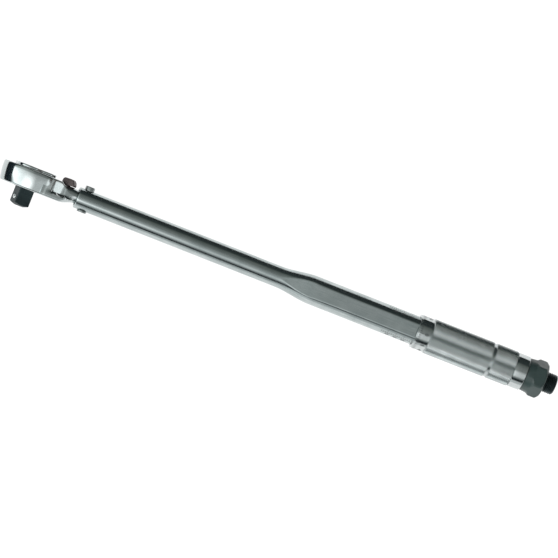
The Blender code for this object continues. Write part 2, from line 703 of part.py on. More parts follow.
def tube():
    """Return the stepped tube with its two long flats and its pin holes."""
    outer = [(TUBE_RADIUS - 0.4, TUBE_MOUTH), (TUBE_RADIUS, TUBE_MOUTH + 0.4)]
    span, rise = FLARE_END - FLARE_START, REAR_RADIUS - TUBE_RADIUS
    for i in range(FLARE_STEPS + 1):
        share = i / FLARE_STEPS
        outer.append((TUBE_RADIUS + rise * (1 - math.cos(math.pi * share)) / 2,
                      FLARE_START + span * share))
    outer += [(REAR_RADIUS, TUBE_END - EDGE), (REAR_RADIUS - EDGE, TUBE_END)]
    bore = [(REAR_BORE, TUBE_END), (REAR_BORE, REAR_BORE_START), (TUBE_BORE, REAR_BORE_START - 3.0),
            (TUBE_BORE, TUBE_MOUTH)]
    item = turned("tube", outer + bore, ring=True, steps=TURN_STEPS)
    past_end = TUBE_END + OVERSHOOT
    ramp = [(FLAT_START, TUBE_RADIUS - FLAT_START_DEPTH), (FLAT_FULL, FLAT_HALF_HEIGHT),
            (past_end, FLAT_HALF_HEIGHT), (past_end, CROSS_REACH), (FLAT_START, CROSS_REACH)]
    for side, sign in (("near", -1), ("far", 1)):
        combine(item, plate(f"flat_{side}", [(x, sign * z) for x, z in ramp], -CROSS_REACH,
                            CROSS_REACH, ALONG_DRIVE, collection=CUTTERS))
    for name, radius, along in (("tube_pivot_hole", PIVOT_RADIUS + GAP, PIVOT),
                                ("tube_nut_hole", NUT_PIN_RADIUS + GAP, NUT_MIDDLE)):
        combine(item, rod(name, radius, -CROSS_REACH, CROSS_REACH, ALONG_DRIVE, (along, 0, 0),
                          CUTTERS))
    dress(item, CHROME)
    return item


def pivot_parts():
    """Return the head's pivot pin and the cap on its far end."""
    under = TUBE_RADIUS + GAP
    pin = turned("pivot_pin", [
        (0, -under + 0.2), (PIVOT_RADIUS, -under + 0.2), (PIVOT_RADIUS, under),
        (PIVOT_HEAD_RADIUS, under), (PIVOT_HEAD_RADIUS, under + PIVOT_HEAD_HEIGHT - PIVOT_HEAD_EDGE),
        (PIVOT_HEAD_RADIUS - PIVOT_HEAD_EDGE, under + PIVOT_HEAD_HEIGHT), (0, under + PIVOT_HEAD_HEIGHT),
    ], ALONG_DRIVE, steps=28, place=(PIVOT, 0, 0))
    cap = turned("pivot_pin_cap", [
        (0, -under - PIVOT_CAP_HEIGHT),
        (PIVOT_HEAD_RADIUS - PIVOT_CAP_EDGE, -under - PIVOT_CAP_HEIGHT),
        (PIVOT_HEAD_RADIUS, -under - PIVOT_CAP_HEIGHT + PIVOT_CAP_EDGE), (PIVOT_HEAD_RADIUS, -under),
        (0, -under),
    ], ALONG_DRIVE, steps=28, place=(PIVOT, 0, 0))
    dress(pin, BRIGHT_STEEL)
    dress(cap, BRIGHT_STEEL)
    return pin, cap


def tilt_block():
    """Return the block that tips over at the click: round nose, square back."""
    nose = BLOCK_START + BLOCK_HALF_WIDTH
    outline = [(BLOCK_START + BLOCK_LENGTH, -BLOCK_HALF_WIDTH),
               (BLOCK_START + BLOCK_LENGTH, BLOCK_HALF_WIDTH)]
    outline += arc((nose, 0.0), BLOCK_HALF_WIDTH, 90, 270, 10)
    block = plate("tilt_block", outline, -BLOCK_HALF_WIDTH, BLOCK_HALF_WIDTH, ALONG_DRIVE)
    dress(block, BRIGHT_STEEL)
    return block


def click_train():
    """Return the plunger, the main spring, its rear seat and the thrust ball."""
    plunger = turned("plunger", [
        (0, PLUNGER_START), (PISTON_RADIUS - 0.6, PLUNGER_START), (PISTON_RADIUS, PLUNGER_START + 0.6),
        (PISTON_RADIUS, PLUNGER_START + 8), (PISTON_RADIUS - 0.8, PLUNGER_START + 8.8),
        (PISTON_RADIUS - 0.8, PLUNGER_START + 11.2), (PISTON_RADIUS, PLUNGER_START + 12),
        (PISTON_RADIUS, PLUNGER_SHOULDER), (SPIGOT_RADIUS, PLUNGER_SHOULDER),
        (SPIGOT_RADIUS, PLUNGER_SHOULDER + SPIGOT_LENGTH - 0.6),
        (SPIGOT_RADIUS - 0.6, PLUNGER_SHOULDER + SPIGOT_LENGTH), (0, PLUNGER_SHOULDER + SPIGOT_LENGTH),
    ], steps=28)
    spring = coil("main_spring", SPRING_COIL_RADIUS, SPRING_WIRE / 2, SPRING_TURNS, SPRING_START,
                  SPRING_START + SPRING_LENGTH)
    socket = THRUST_BALL_RADIUS + GAP
    seat = turned("spring_seat", [
        (0, SEAT_START - SPIGOT_LENGTH), (SPIGOT_RADIUS - 0.6, SEAT_START - SPIGOT_LENGTH),
        (SPIGOT_RADIUS, SEAT_START - SPIGOT_LENGTH + 0.6), (SPIGOT_RADIUS, SEAT_START),
        (PISTON_RADIUS, SEAT_START), (PISTON_RADIUS, SEAT_BACK), (socket, SEAT_BACK),
        (socket, SEAT_BACK - BALL_SEAT_DEPTH), (0, SEAT_BACK - BALL_SEAT_DEPTH),
    ], steps=28)
    sphere = ball("thrust_ball", THRUST_BALL_RADIUS, (THRUST_BALL, 0, 0))
    for item, look in ((plunger, BRIGHT_STEEL), (spring, SPRING_STEEL), (seat, BRIGHT_STEEL),
                       (sphere, CHROME)):
        dress(item, look)
    return plunger, spring, seat, sphere


# ---------------------------------------------------------------- adjustment and handle


def adjuster():
    """Return the fixed nut in the tube, the two pins that hold it and the screw."""
    radius = REAR_BORE - GAP
    nut = turned("adjuster_nut", [
        (radius - 0.6, NUT_START), (radius, NUT_START + 0.6), (radius, NUT_START + NUT_LENGTH - 0.6),
        (radius - 0.6, NUT_START + NUT_LENGTH), (THREAD_RADIUS + GAP, NUT_START + NUT_LENGTH),
        (THREAD_RADIUS + GAP, NUT_START),
    ], ring=True, steps=36)
    pin_inner = THREAD_RADIUS + GAP + NUT_PIN_WALL
    pins = []
    for index, sign in enumerate((1, -1), 1):
        ends = sorted((sign * pin_inner, sign * (REAR_RADIUS - GAP)))
        room = sorted((sign * (pin_inner - GAP), sign * CROSS_REACH))
        combine(nut, rod(f"nut_pin_hole_{index}", NUT_PIN_RADIUS + GAP, *room, ALONG_DRIVE,
                         (NUT_MIDDLE, 0, 0), CUTTERS))
        pins.append(rod(f"adjuster_pin_{index}", NUT_PIN_RADIUS, *ends, ALONG_DRIVE,
                        (NUT_MIDDLE, 0, 0)))
    hub_fit = THREAD_RADIUS - SCREW_HUB_STEP
    screw = turned("adjusting_screw", [
        (0, SCREW_START), (ROD_RADIUS - 0.5, SCREW_START), (ROD_RADIUS, SCREW_START + 0.5),
        (ROD_RADIUS, THREAD_START - 1), (THREAD_RADIUS, THREAD_START), (THREAD_RADIUS, HUB_START - 2),
        (hub_fit, HUB_START - 1.4), (hub_fit, SCREW_END), (0, SCREW_END),
    ], steps=28)
    combine(screw, rod("screw_cross_hole", HUB_PIN_RADIUS + GAP, -CROSS_REACH, CROSS_REACH,
                       ALONG_DRIVE, (HUB_PIN_ALONG, 0, 0), CUTTERS))
    dress(nut, BRONZE)
    for item in (screw, *pins):
        dress(item, BRIGHT_STEEL)
    return nut, pins, screw


def handle_hub():
    """Return the plug that joins the handle to the adjusting screw, and its cross pin."""
    screw_fit = THREAD_RADIUS - SCREW_HUB_STEP + GAP
    stud_fit = STUD_ROOT_RADIUS + GAP
    step = HUB_END - STUD_ROOT_LENGTH - GAP
    hub = turned("handle_hub", [
        (HUB_RADIUS - 0.6, HUB_START), (HUB_RADIUS, HUB_START + 0.6), (HUB_RADIUS, HUB_END),
        (stud_fit, HUB_END), (stud_fit, step), (screw_fit, step), (screw_fit, HUB_START),
    ], ring=True, steps=40)
    combine(hub, rod("hub_cross_hole", HUB_PIN_RADIUS + GAP, -CROSS_REACH, CROSS_REACH, ALONG_DRIVE,
                     (HUB_PIN_ALONG, 0, 0), CUTTERS))
    pin = rod("hub_pin", HUB_PIN_RADIUS, -HUB_RADIUS + 0.4, HUB_RADIUS - 0.4, ALONG_DRIVE,
              (HUB_PIN_ALONG, 0, 0))
    dress(hub, BRIGHT_STEEL)
    dress(pin, BRIGHT_STEEL)
    return hub, pin


def handle_sleeve():
    """Return the grip sleeve, with a spigot that carries the graduated collar."""
    lap = SLEEVE_BORE + SPIGOT_WALL
    lap_start = SLEEVE_START - COLLAR_LAP
    groove = SLEEVE_RADIUS - GROOVE_DEPTH
    groove_end = GROOVE_START + GROOVE_WIDTH
    seal_half, seal_room = SEAL_WIRE * 2 + 0.1, SLEEVE_BORE + SEAL_WIRE * 2 + GAP
    sleeve = turned("handle_sleeve", [
        (lap, lap_start), (lap, SLEEVE_START), (SLEEVE_RADIUS - EDGE, SLEEVE_START),
        (SLEEVE_RADIUS, SLEEVE_START + EDGE), (SLEEVE_RADIUS, GROOVE_START), (groove, GROOVE_START + 0.4),
        (groove, groove_end - 0.4), (SLEEVE_RADIUS, groove_end), (SLEEVE_RADIUS, SLEEVE_END - EDGE),
        (SLEEVE_RADIUS - EDGE, SLEEVE_END), (SLEEVE_BORE, SLEEVE_END),
        (SLEEVE_BORE, SEAL_ALONG + seal_half), (seal_room, SEAL_ALONG + seal_half),
        (seal_room, SEAL_ALONG - seal_half), (SLEEVE_BORE, SEAL_ALONG - seal_half),
        (SLEEVE_BORE, lap_start),
    ], ring=True)
    seal = turned("sleeve_seal", arc((SLEEVE_BORE + SEAL_WIRE, SEAL_ALONG), SEAL_WIRE, -90, 225, 7),
                  ring=True, steps=36)
    dress(sleeve, CHROME)
    dress(seal, RUBBER)
    return sleeve, seal


def graduated_collar():
    """Return the collar at the front of the handle and its two grub screws."""
    lap = SLEEVE_BORE + SPIGOT_WALL + GAP
    lap_start = SLEEVE_START - COLLAR_LAP - GAP
    end = COLLAR_START + COLLAR_LENGTH
    collar = turned("graduated_collar", [
        (COLLAR_RADIUS - 0.7, COLLAR_START), (COLLAR_RADIUS, COLLAR_START + 0.9),
        (COLLAR_RADIUS, end), (lap, end), (lap, lap_start), (SLEEVE_BORE, lap_start),
        (SLEEVE_BORE, COLLAR_START),
    ], ring=True)
    along = (lap_start + end) / 2
    grubs = []
    for index, turn_deg in enumerate(GRUB_DEG, 1):
        turn = Matrix.Rotation(math.radians(turn_deg), 4, "X")
        combine(collar, rod(f"grub_hole_{index}", GRUB_RADIUS + GAP, lap - 0.2, CROSS_REACH, turn,
                            (along, 0, 0), CUTTERS, 12))
        grubs.append(rod(f"collar_screw_{index}", GRUB_RADIUS, lap - GAP * 0.5, COLLAR_RADIUS - 0.15,
                         turn, (along, 0, 0), steps=12))
    dress(collar, CHROME)
    for grub in grubs:
        dress(grub, BLACK_OXIDE)
    return collar, grubs


def end_ring():
    """Return the smooth ring behind the grip."""
    start = SLEEVE_END + GAP
    ring = turned("end_ring", [
        (RING_RADIUS - 0.4, start), (RING_RADIUS, start + 0.4), (RING_RADIUS, RING_END - 0.4),
        (RING_RADIUS - 0.4, RING_END), (SLEEVE_BORE, RING_END), (SLEEVE_BORE, start),
    ], ring=True)
    dress(ring, CHROME)
    return ring


def end_stud():
    """Return the stud that the lock nut runs on, with a keyway for the lock washer."""
    root = HUB_END - STUD_ROOT_LENGTH
    stud = turned("end_stud", [
        (0, root), (STUD_ROOT_RADIUS, root), (STUD_ROOT_RADIUS, STUD_START), (STUD_RADIUS, STUD_START),
        *arc((STUD_RADIUS - STUD_END_ROUND, STUD_END - STUD_END_ROUND), STUD_END_ROUND, 0, 80, 5),
        (0, STUD_END),
    ])
    half = KEY_WIDTH / 2 + GAP
    combine(stud, box("keyway", (STUD_START - 0.1, -STUD_RADIUS - OVERSHOOT, -half),
                      (WASHER_END + KEYWAY_OVERRUN, -STUD_RADIUS + KEY_DEPTH + GAP, half), CUTTERS))
    dress(stud, BLACK_OXIDE)
    return stud


def lock_washer():
    """Return the keyed washer between the handle and the lock nut."""
    bore = STUD_RADIUS + GAP
    washer = turned("lock_washer", [
        (WASHER_RADIUS, WASHER_START), (WASHER_RADIUS, WASHER_END), (bore, WASHER_END),
        (bore, WASHER_START)], ring=True, steps=36)
    half = KEY_WIDTH / 2
    combine(washer, box("key_tab", (WASHER_START, -bore - 1.0, -half),
                        (WASHER_END, -STUD_RADIUS + KEY_DEPTH, half), CUTTERS), "UNION")
    dress(washer, SPRING_STEEL)
    return washer


def nut_reach(angle_deg, radius):
    """Return how far the nut's outside reaches: a circle cut by six flats."""
    from_corner = abs((angle_deg - NUT_CORNER_DEG + 30.0) % 60.0 - 30.0)
    return min(radius, NUT_ACROSS_FLATS / 2 / math.cos(math.radians(30.0 - from_corner)))


def lock_nut():
    """Return the lock nut: a round collar that flares into a rounded hexagon."""
    bore, room = STUD_RADIUS + GAP, WASHER_RADIUS + GAP
    waist = NUT_FRONT + NUT_WAIST
    profile = [
        (NUT_LIP_RADIUS - EDGE, NUT_FRONT), (NUT_LIP_RADIUS, NUT_FRONT + EDGE),
        (NUT_WAIST_RADIUS, waist), (NUT_CORNER_RADIUS, waist + NUT_FLARE),
        (NUT_CORNER_RADIUS, NUT_BACK - NUT_BACK_CHAMFER), (NUT_LIP_RADIUS, NUT_BACK),
        (bore, NUT_BACK), (bore, WASHER_END + GAP), (room, WASHER_END + GAP), (room, NUT_FRONT),
    ]
    sections = []
    for radius, along in profile:
        section = []
        for step in range(NUT_STEPS):
            angle = NUT_CORNER_DEG + 360.0 * step / NUT_STEPS
            side, lift = polar(angle, nut_reach(angle, radius))
            section.append((along, lift, side))
        sections.append(section)
    body = loft("lock_nut", sections, ring=True)
    dress(body, SATIN_GREEN)
    return body


# ---------------------------------------------------------------- assembly


def joint_empty(name, place, parent=None):
    """Return an empty that stands on a joint's axis."""
    empty = bpy.data.objects.new(name, None)
    PIECES.objects.link(empty)
    empty.empty_display_size = 0.01
    empty.matrix_world = Matrix.Translation(Vector(place) * MM)
    if parent:
        hang(empty, parent)
    return empty


def build():
    """Make every piece, hang it on its body's axis and set the rest pose."""
    assembly = joint_empty("assembly", (0, 0, 0))
    head_axis = joint_empty("head_axis", (PIVOT, 0, 0), assembly)
    drive_axis = joint_empty("drive_axis", (0, 0, 0), head_axis)
    pawl_axis = joint_empty("pawl_axis", (PAWL_PIVOT, 0, 0), head_axis)
    lever_axis = joint_empty("lever_axis", (LEVER_PIVOT, 0, 0), head_axis)
    block_axis = joint_empty("block_axis", (BLOCK_START, 0, 0), head_axis)
    thrust_axis = joint_empty("thrust_axis", (SEAT_BACK, 0, 0), assembly)
    handle_axis = joint_empty("handle_axis", (HUB_START, 0, 0), thrust_axis)
    washer_axis = joint_empty("washer_axis", (WASHER_START, 0, 0), handle_axis)

    plunger, spring, seat, thrust_ball = click_train()
    nut, nut_pins, screw = adjuster()
    collar, grubs = graduated_collar()
    bodies = {
        assembly: [tube(), *pivot_parts(), nut, *nut_pins, plunger],
        head_axis: [head_casing(), head_cover(), *cover_screws(), gear_bush(), pawl_pin()],
        drive_axis: [drive_gear(), *detent()],
        pawl_axis: [pawl()],
        lever_axis: [reverse_lever(), *lever_detent()],
        block_axis: [tilt_block()],
        thrust_axis: [spring, seat, thrust_ball],
        handle_axis: [screw, *handle_hub(), *handle_sleeve(), collar, *grubs, end_ring(), end_stud()],
        washer_axis: [lock_washer(), lock_nut()],
    }
    for parent, items in bodies.items():
        for item in items:
            hang(item, parent)
    drive_axis.rotation_euler.y = math.radians(DRIVE_REST_DEG)
    lever_axis.rotation_euler.y = math.radians(-LEVER_SWING_DEG)
    pawl_axis.rotation_euler.y = math.radians(PAWL_ROCK_DEG)
    assembly.location.y = TOOL_AXIS_LIFT * MM


build()
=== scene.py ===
"""Looks of a click torque wrench: its visible pieces, finishes, camera and studio.

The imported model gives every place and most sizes. The tool lies along +X, its square
drive points along -Y and its reversing lever stands on the +Y side. Sizes inside the
classes are millimetres, and meshes are written in metres.
"""
from __future__ import annotations

import json
import logging
import math
from dataclasses import dataclass
from enum import Enum
from typing import Any, Callable, Iterable, Sequence

import bmesh
import bpy
from mathutils import Matrix, Vector


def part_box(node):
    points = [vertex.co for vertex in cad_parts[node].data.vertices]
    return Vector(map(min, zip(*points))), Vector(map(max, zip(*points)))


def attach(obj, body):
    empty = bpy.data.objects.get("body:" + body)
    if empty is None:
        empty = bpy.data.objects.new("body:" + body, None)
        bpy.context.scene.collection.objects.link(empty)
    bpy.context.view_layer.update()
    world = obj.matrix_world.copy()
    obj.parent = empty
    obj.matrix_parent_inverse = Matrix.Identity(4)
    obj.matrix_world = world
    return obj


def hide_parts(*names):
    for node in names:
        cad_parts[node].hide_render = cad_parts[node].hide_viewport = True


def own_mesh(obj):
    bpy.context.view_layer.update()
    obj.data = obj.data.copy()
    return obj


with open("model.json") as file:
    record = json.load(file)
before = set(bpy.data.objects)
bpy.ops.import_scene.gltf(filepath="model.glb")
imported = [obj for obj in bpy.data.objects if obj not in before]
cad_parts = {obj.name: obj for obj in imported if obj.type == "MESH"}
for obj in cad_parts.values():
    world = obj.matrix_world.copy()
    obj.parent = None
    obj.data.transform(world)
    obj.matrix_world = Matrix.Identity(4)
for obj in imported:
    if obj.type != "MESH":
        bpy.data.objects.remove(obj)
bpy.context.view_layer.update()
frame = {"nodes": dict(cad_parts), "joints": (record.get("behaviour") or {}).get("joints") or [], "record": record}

LOG = logging.getLogger("torque_wrench")
MM = 0.001
FULL = 2.0 * math.pi
SHARP_DEG = 32.0
# Cutting shapes pass the face that they open by this many millimetres
OVERRUN = 3.0
# Facets in a full turn of small, middling and broad pieces
SMALL_STEPS, PIN_STEPS, BROAD_STEPS = 48, 64, 160

Point = tuple[float, float]
Ring = list[Vector]


# ------------------------------------------------------------------ places in the frame


@dataclass(frozen=True)
class Extent:
    """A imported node's box in millimetres."""

    low: tuple[float, float, float]
    high: tuple[float, float, float]

    @classmethod
    def of(cls, node: str) -> "Extent":
        """Read a node's box from the frame.

        Args:
            node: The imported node's name.

        Returns:
            Its box at rest.
        """
        low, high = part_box(node)
        return cls(tuple(v / MM for v in low), tuple(v / MM for v in high))

    @property
    def middle(self) -> tuple[float, float, float]:
        """Return the box's centre."""
        return tuple((a + b) / 2 for a, b in zip(self.low, self.high))

    @property
    def radius(self) -> float:
        """Return half the box's height along Z, a turned piece's radius."""
        return (self.high[2] - self.low[2]) / 2


TUBE_BOX = Extent.of("tube")
LIFT = TUBE_BOX.middle[1]


class Axis(Enum):
    """The two lines that turned pieces are turned about."""

    TOOL = "along the tool"
    DRIVE = "along the square drive"

    def point(self, along: float, radius: float, angle: float, centre: Point = (0.0, 0.0)) -> Vector:
        """Return a point of a turned surface.

        Args:
            along: Distance along +X for the tool, or above the tool axis for the drive.
            radius: Distance from the axis.
            angle: Turn in radians, from +Z towards +Y for the tool, from +X to +Z for the drive.
            centre: Where a drive-wise axis stands, as (x, z).

        Returns:
            The point in metres in the frame.
        """
        if self is Axis.TOOL:
            spot = (along, LIFT + radius * math.sin(angle), radius * math.cos(angle))
        else:
            spot = (centre[0] + radius * math.cos(angle), LIFT + along,
                    centre[1] + radius * math.sin(angle))
        return Vector(spot) * MM


# ------------------------------------------------------------------ finishes


def linear(code: str) -> tuple[float, float, float, float]:
    """Turn an sRGB hex colour into linear RGBA.

    Args:
        code: Six hex digits, such as "8a9090".

    Returns:
        The linear colour with an alpha of one.
    """
    shares = [int(code[i:i + 2], 16) / 255.0 for i in (0, 2, 4)]
    red, green, blue = (s / 12.92 if s <= 0.04045 else ((s + 0.055) / 1.055) ** 2.4 for s in shares)
    return red, green, blue, 1.0


def add_node(tree: bpy.types.NodeTree, kind: str, values: dict[Any, Any] | None = None,
             links: dict[Any, bpy.types.NodeSocket] | None = None, **settings: Any) -> bpy.types.Node:
    """Add a node with its settings and links.

    Args:
        tree: The tree to add to.
        kind: The node's class name.
        values: Input values by socket name or index.
        links: Output sockets to link to inputs, by the input's name or index.
        **settings: Properties of the node.

    Returns:
        The new node.
    """
    node = tree.nodes.new(kind)
    for name, value in settings.items():
        setattr(node, name, value)
    for name, value in (values or {}).items():
        node.inputs[name].default_value = value
    for name, socket in (links or {}).items():
        tree.links.new(socket, node.inputs[name])
    return node


class Lay(Enum):
    """How a surface's pattern is stretched, as a share of its scale along X, Y and Z."""

    CLOUDY = (1.0, 1.0, 1.0)
    LENGTHWAYS = (0.015, 1.0, 1.0)
    ROUND_THE_TOOL = (1.0, 0.03, 0.03)
    ROUND_THE_DRIVE = (0.03, 1.0, 0.03)


@dataclass(frozen=True)
class Finish:
    """A surface finish: two shades, a roughness range and a pattern of a real size."""

    name: str
    light: str
    dark: str
    metallic: float
    smooth: float
    rough: float
    grain_mm: float
    lay: Lay = Lay.CLOUDY
    relief_mm: float = 0.0
    smudge_mm: float = 12.0
    coat: float = 0.0
    spread: tuple[float, float] = (0.12, 0.42)

    def make(self) -> bpy.types.Material:
        """Make the finish as a procedural material.

        Returns:
            The material, whose shade and gloss follow a fine grain and coarser smudges.
        """
        material = bpy.data.materials.new(self.name)
        material.use_nodes = True
        tree = material.node_tree
        shader = tree.nodes["Principled BSDF"]
        shader.inputs["Metallic"].default_value = self.metallic
        shader.inputs["Coat Weight"].default_value = self.coat
        place = add_node(tree, "ShaderNodeTexCoord")
        stretched = add_node(tree, "ShaderNodeMapping", {"Scale": self.lay.value},
                             {"Vector": place.outputs["Object"]})
        grain = add_node(tree, "ShaderNodeTexNoise",
                         {"Scale": 1.0 / (self.grain_mm * MM), "Detail": 3.0, "Roughness": 0.6},
                         {"Vector": stretched.outputs["Vector"]})
        smudge = add_node(tree, "ShaderNodeTexNoise",
                          {"Scale": 1.0 / (self.smudge_mm * MM), "Detail": 4.0},
                          {"Vector": place.outputs["Object"]})
        both = add_node(tree, "ShaderNodeMath", {}, {0: grain.outputs["Fac"], 1: smudge.outputs["Fac"]},
                        operation="MULTIPLY")
        spread = add_node(tree, "ShaderNodeMapRange",
                          {"From Min": self.spread[0], "From Max": self.spread[1]},
                          {"Value": both.outputs["Value"]})
        shade = add_node(tree, "ShaderNodeMix", {6: linear(self.dark), 7: linear(self.light)},
                         {0: spread.outputs["Result"]}, data_type="RGBA")
        tree.links.new(shade.outputs[2], shader.inputs["Base Color"])
        gloss = add_node(tree, "ShaderNodeMapRange", {"To Min": self.rough, "To Max": self.smooth},
                         {"Value": spread.outputs["Result"]})
        tree.links.new(gloss.outputs["Result"], shader.inputs["Roughness"])
        if self.relief_mm:
            relief = add_node(tree, "ShaderNodeBump",
                              {"Strength": 1.0, "Distance": self.relief_mm * MM},
                              {"Height": grain.outputs["Fac"]})
            tree.links.new(relief.outputs["Normal"], shader.inputs["Normal"])
        return material


# Forged steel, polished and chrome plated: a nearly clean mirror with a faint haze
HEAD_CHROME = Finish("polished_chrome_on_forged_steel", "c9cfcf", "b4bbbb", 1.0, 0.07, 0.14, 0.8,
                     relief_mm=0.0006)
# Drawn tube, linished lengthways before bright chrome: soft streaks along the tube
TUBE_CHROME = Finish("chrome_over_linished_tube", "c2c9c9", "a4adad", 1.0, 0.12, 0.24, 0.35,
                     Lay.LENGTHWAYS, relief_mm=0.0012)
# Turned rings under bright chrome: hair lines run round them
RING_CHROME = Finish("chrome_on_turned_ring", "cfd3d3", "bcc2c2", 1.0, 0.08, 0.16, 0.25,
                     Lay.ROUND_THE_TOOL, relief_mm=0.0006)
# Knurled sleeve under satin chrome: the diamonds scatter light, so it looks pale grey
KNURL_CHROME = Finish("satin_chrome_on_knurl", "ccd2d2", "aeb4b4", 1.0, 0.2, 0.28, 0.3,
                      relief_mm=0.001)
# Heat-treated steel, chemically blackened and oiled: near black with a soft greenish sheen
BLACK_OXIDE = Finish("black_oxide_on_steel", "3e4b4d", "262f31", 0.9, 0.34, 0.5, 0.25,
                     relief_mm=0.004)
# Hardened bearing ball: a small clean mirror
BALL_STEEL = Finish("polished_bearing_steel", "dfe3e3", "cfd4d4", 1.0, 0.05, 0.1, 1.5)
# Investment-cast steel left as cast and tumbled: brownish grey, fine pitted skin
CAST_STEEL = Finish("tumbled_cast_steel", "8d8181", "5b5252", 0.75, 0.38, 0.55, 0.35,
                    relief_mm=0.012)
# Glass-filled nylon from a spark-eroded mould: satin with a very fine grain
MOULDED_NYLON = Finish("moulded_glass_filled_nylon", "3a4b4a", "2a3937", 0.0, 0.34, 0.46, 0.3,
                       relief_mm=0.006, coat=0.15)
# Ground bright steel pins: silvery with round tool marks
GROUND_STEEL = Finish("ground_bright_steel", "b9bdbd", "8e9393", 1.0, 0.2, 0.34, 0.2,
                      Lay.ROUND_THE_DRIVE, relief_mm=0.0015)
# Internal shafts, turned and ground about the tool's own axis
TURNED_STEEL = Finish("turned_bright_steel", "b4b8b8", "878c8c", 1.0, 0.22, 0.36, 0.2,
                      Lay.ROUND_THE_TOOL, relief_mm=0.0015)
# Oil-tempered spring wire: dark grey with drawing lines
SPRING_WIRE = Finish("oil_tempered_spring_wire", "7a7d80", "4d5053", 1.0, 0.3, 0.44, 0.3,
                     relief_mm=0.002)
# Cast and turned tin bronze: warm with dull spots
BRONZE = Finish("turned_tin_bronze", "b58d52", "8f6a38", 1.0, 0.26, 0.42, 0.3, relief_mm=0.002)
# Nitrile rubber cord: matt black
NITRILE = Finish("nitrile_rubber", "262626", "181818", 0.0, 0.6, 0.75, 0.3, relief_mm=0.004)
# Stoving paint wiped into engraved marks: flat charcoal
MARK_PAINT = Finish("wiped_in_mark_paint", "23282a", "15191a", 0.0, 0.5, 0.65, 0.2)

SLOT_FINISHES = {
    "head_chrome": HEAD_CHROME, "tube_chrome": TUBE_CHROME, "collar_chrome": RING_CHROME,
    "knurled_chrome": KNURL_CHROME, "ball_steel": BALL_STEEL, "black_oxide_steel": BLACK_OXIDE,
    "ground_steel": TURNED_STEEL, "spring_steel": SPRING_WIRE, "bronze": BRONZE,
    "cast_lever": CAST_STEEL, "moulded_nut": MOULDED_NYLON, "seal_rubber": NITRILE,
}


class Paints:
    """Makes each finish once and hands it out."""

    def __init__(self) -> None:
        """Start with nothing made."""
        self._made: dict[str, bpy.types.Material] = {}

    def get(self, finish: Finish) -> bpy.types.Material:
        """Return a finish's material, made on first use.

        Args:
            finish: The finish.

        Returns:
            Its material.
        """
        if finish.name not in self._made:
            self._made[finish.name] = finish.make()
        return self._made[finish.name]


PAINTS = Paints()


# ------------------------------------------------------------------ shape tools


def arc(centre: Point, radius: float, start: float, end: float, steps: int) -> list[Point]:
    """Return points along an arc.

    Args:
        centre: The arc's centre.
        radius: Its radius.
        start: First angle in degrees.
        end: Last angle in degrees.
        steps: Number of chords.

    Returns:
        The points, both ends included.
    """
    angles = [math.radians(start + (end - start) * i / steps) for i in range(steps + 1)]
    return [(centre[0] + radius * math.cos(a), centre[1] + radius * math.sin(a)) for a in angles]


def softened(points: Sequence[Point], radius: float, closed: bool = True, steps: int = 3) -> list[Point]:
    """Round the corners of an outline.

    Args:
        points: The outline's corners.
        radius: How far each corner is cut back, at most 0.45 of its shorter side.
        closed: Whether the last point joins the first.
        steps: Chords in each rounded corner.

    Returns:
        The outline with a curve in place of each corner.
    """
    result: list[Point] = []
    count = len(points)
    for i, point in enumerate(points):
        if not closed and i in (0, count - 1):
            result.append(point)
            continue
        here = Vector(point)
        before, after = Vector(points[i - 1]) - here, Vector(points[(i + 1) % count]) - here
        cut = min(radius, 0.45 * before.length, 0.45 * after.length)
        first, last = here + before.normalized() * cut, here + after.normalized() * cut
        for k in range(steps + 1):
            t = k / steps
            spot = first * (1 - t) ** 2 + here * (2 * t * (1 - t)) + last * t ** 2
            result.append((spot.x, spot.y))
    return result


def skin(name: str, rings: Sequence[Ring], closed: bool = False,
         crossed: Callable[[int, int], bool | None] | None = None) -> bpy.types.Object:
    """Join rings of equal length into one closed surface.

    Args:
        name: The new object's name.
        rings: The rings in order. Unless closed, both ends are capped.
        closed: Whether the last ring joins the first.
        crossed: For the square at (ring, step), None keeps it whole, and True or False says
            which way it is split.

    Returns:
        The new object.
    """
    bm = bmesh.new()
    rows = [[bm.verts.new(point) for point in ring] for ring in rings]
    pairs = list(zip(rows, rows[1:] + (rows[:1] if closed else [])))
    for j, (near, far) in enumerate(pairs):
        for i in range(len(near)):
            k = (i + 1) % len(near)
            split = crossed(j, i) if crossed else None
            if split is None:
                bm.faces.new((near[i], near[k], far[k], far[i]))
            elif split:
                bm.faces.new((near[i], near[k], far[k]))
                bm.faces.new((near[i], far[k], far[i]))
            else:
                bm.faces.new((near[i], near[k], far[i]))
                bm.faces.new((near[k], far[k], far[i]))
    if not closed:
        bm.faces.new(rows[0])
        bm.faces.new(rows[-1])
    return solid(name, bm)


def solid(name: str, bm: bmesh.types.BMesh, sharp_deg: float = SHARP_DEG) -> bpy.types.Object:
    """Turn a bmesh into an object with outward faces and smooth shading.

    Args:
        name: The new object's name.
        bm: The mesh, which is freed.
        sharp_deg: Edges bent by more than this stay sharp.

    Returns:
        The new object.
    """
    bmesh.ops.remove_doubles(bm, verts=bm.verts, dist=1e-7)
    bmesh.ops.recalc_face_normals(bm, faces=bm.faces)
    mesh = bpy.data.meshes.new(name)
    bm.to_mesh(mesh)
    bm.free()
    mesh.shade_smooth()
    mesh.set_sharp_from_angle(angle=math.radians(sharp_deg))
    item = bpy.data.objects.new(name, mesh)
    bpy.context.scene.collection.objects.link(item)
    return item


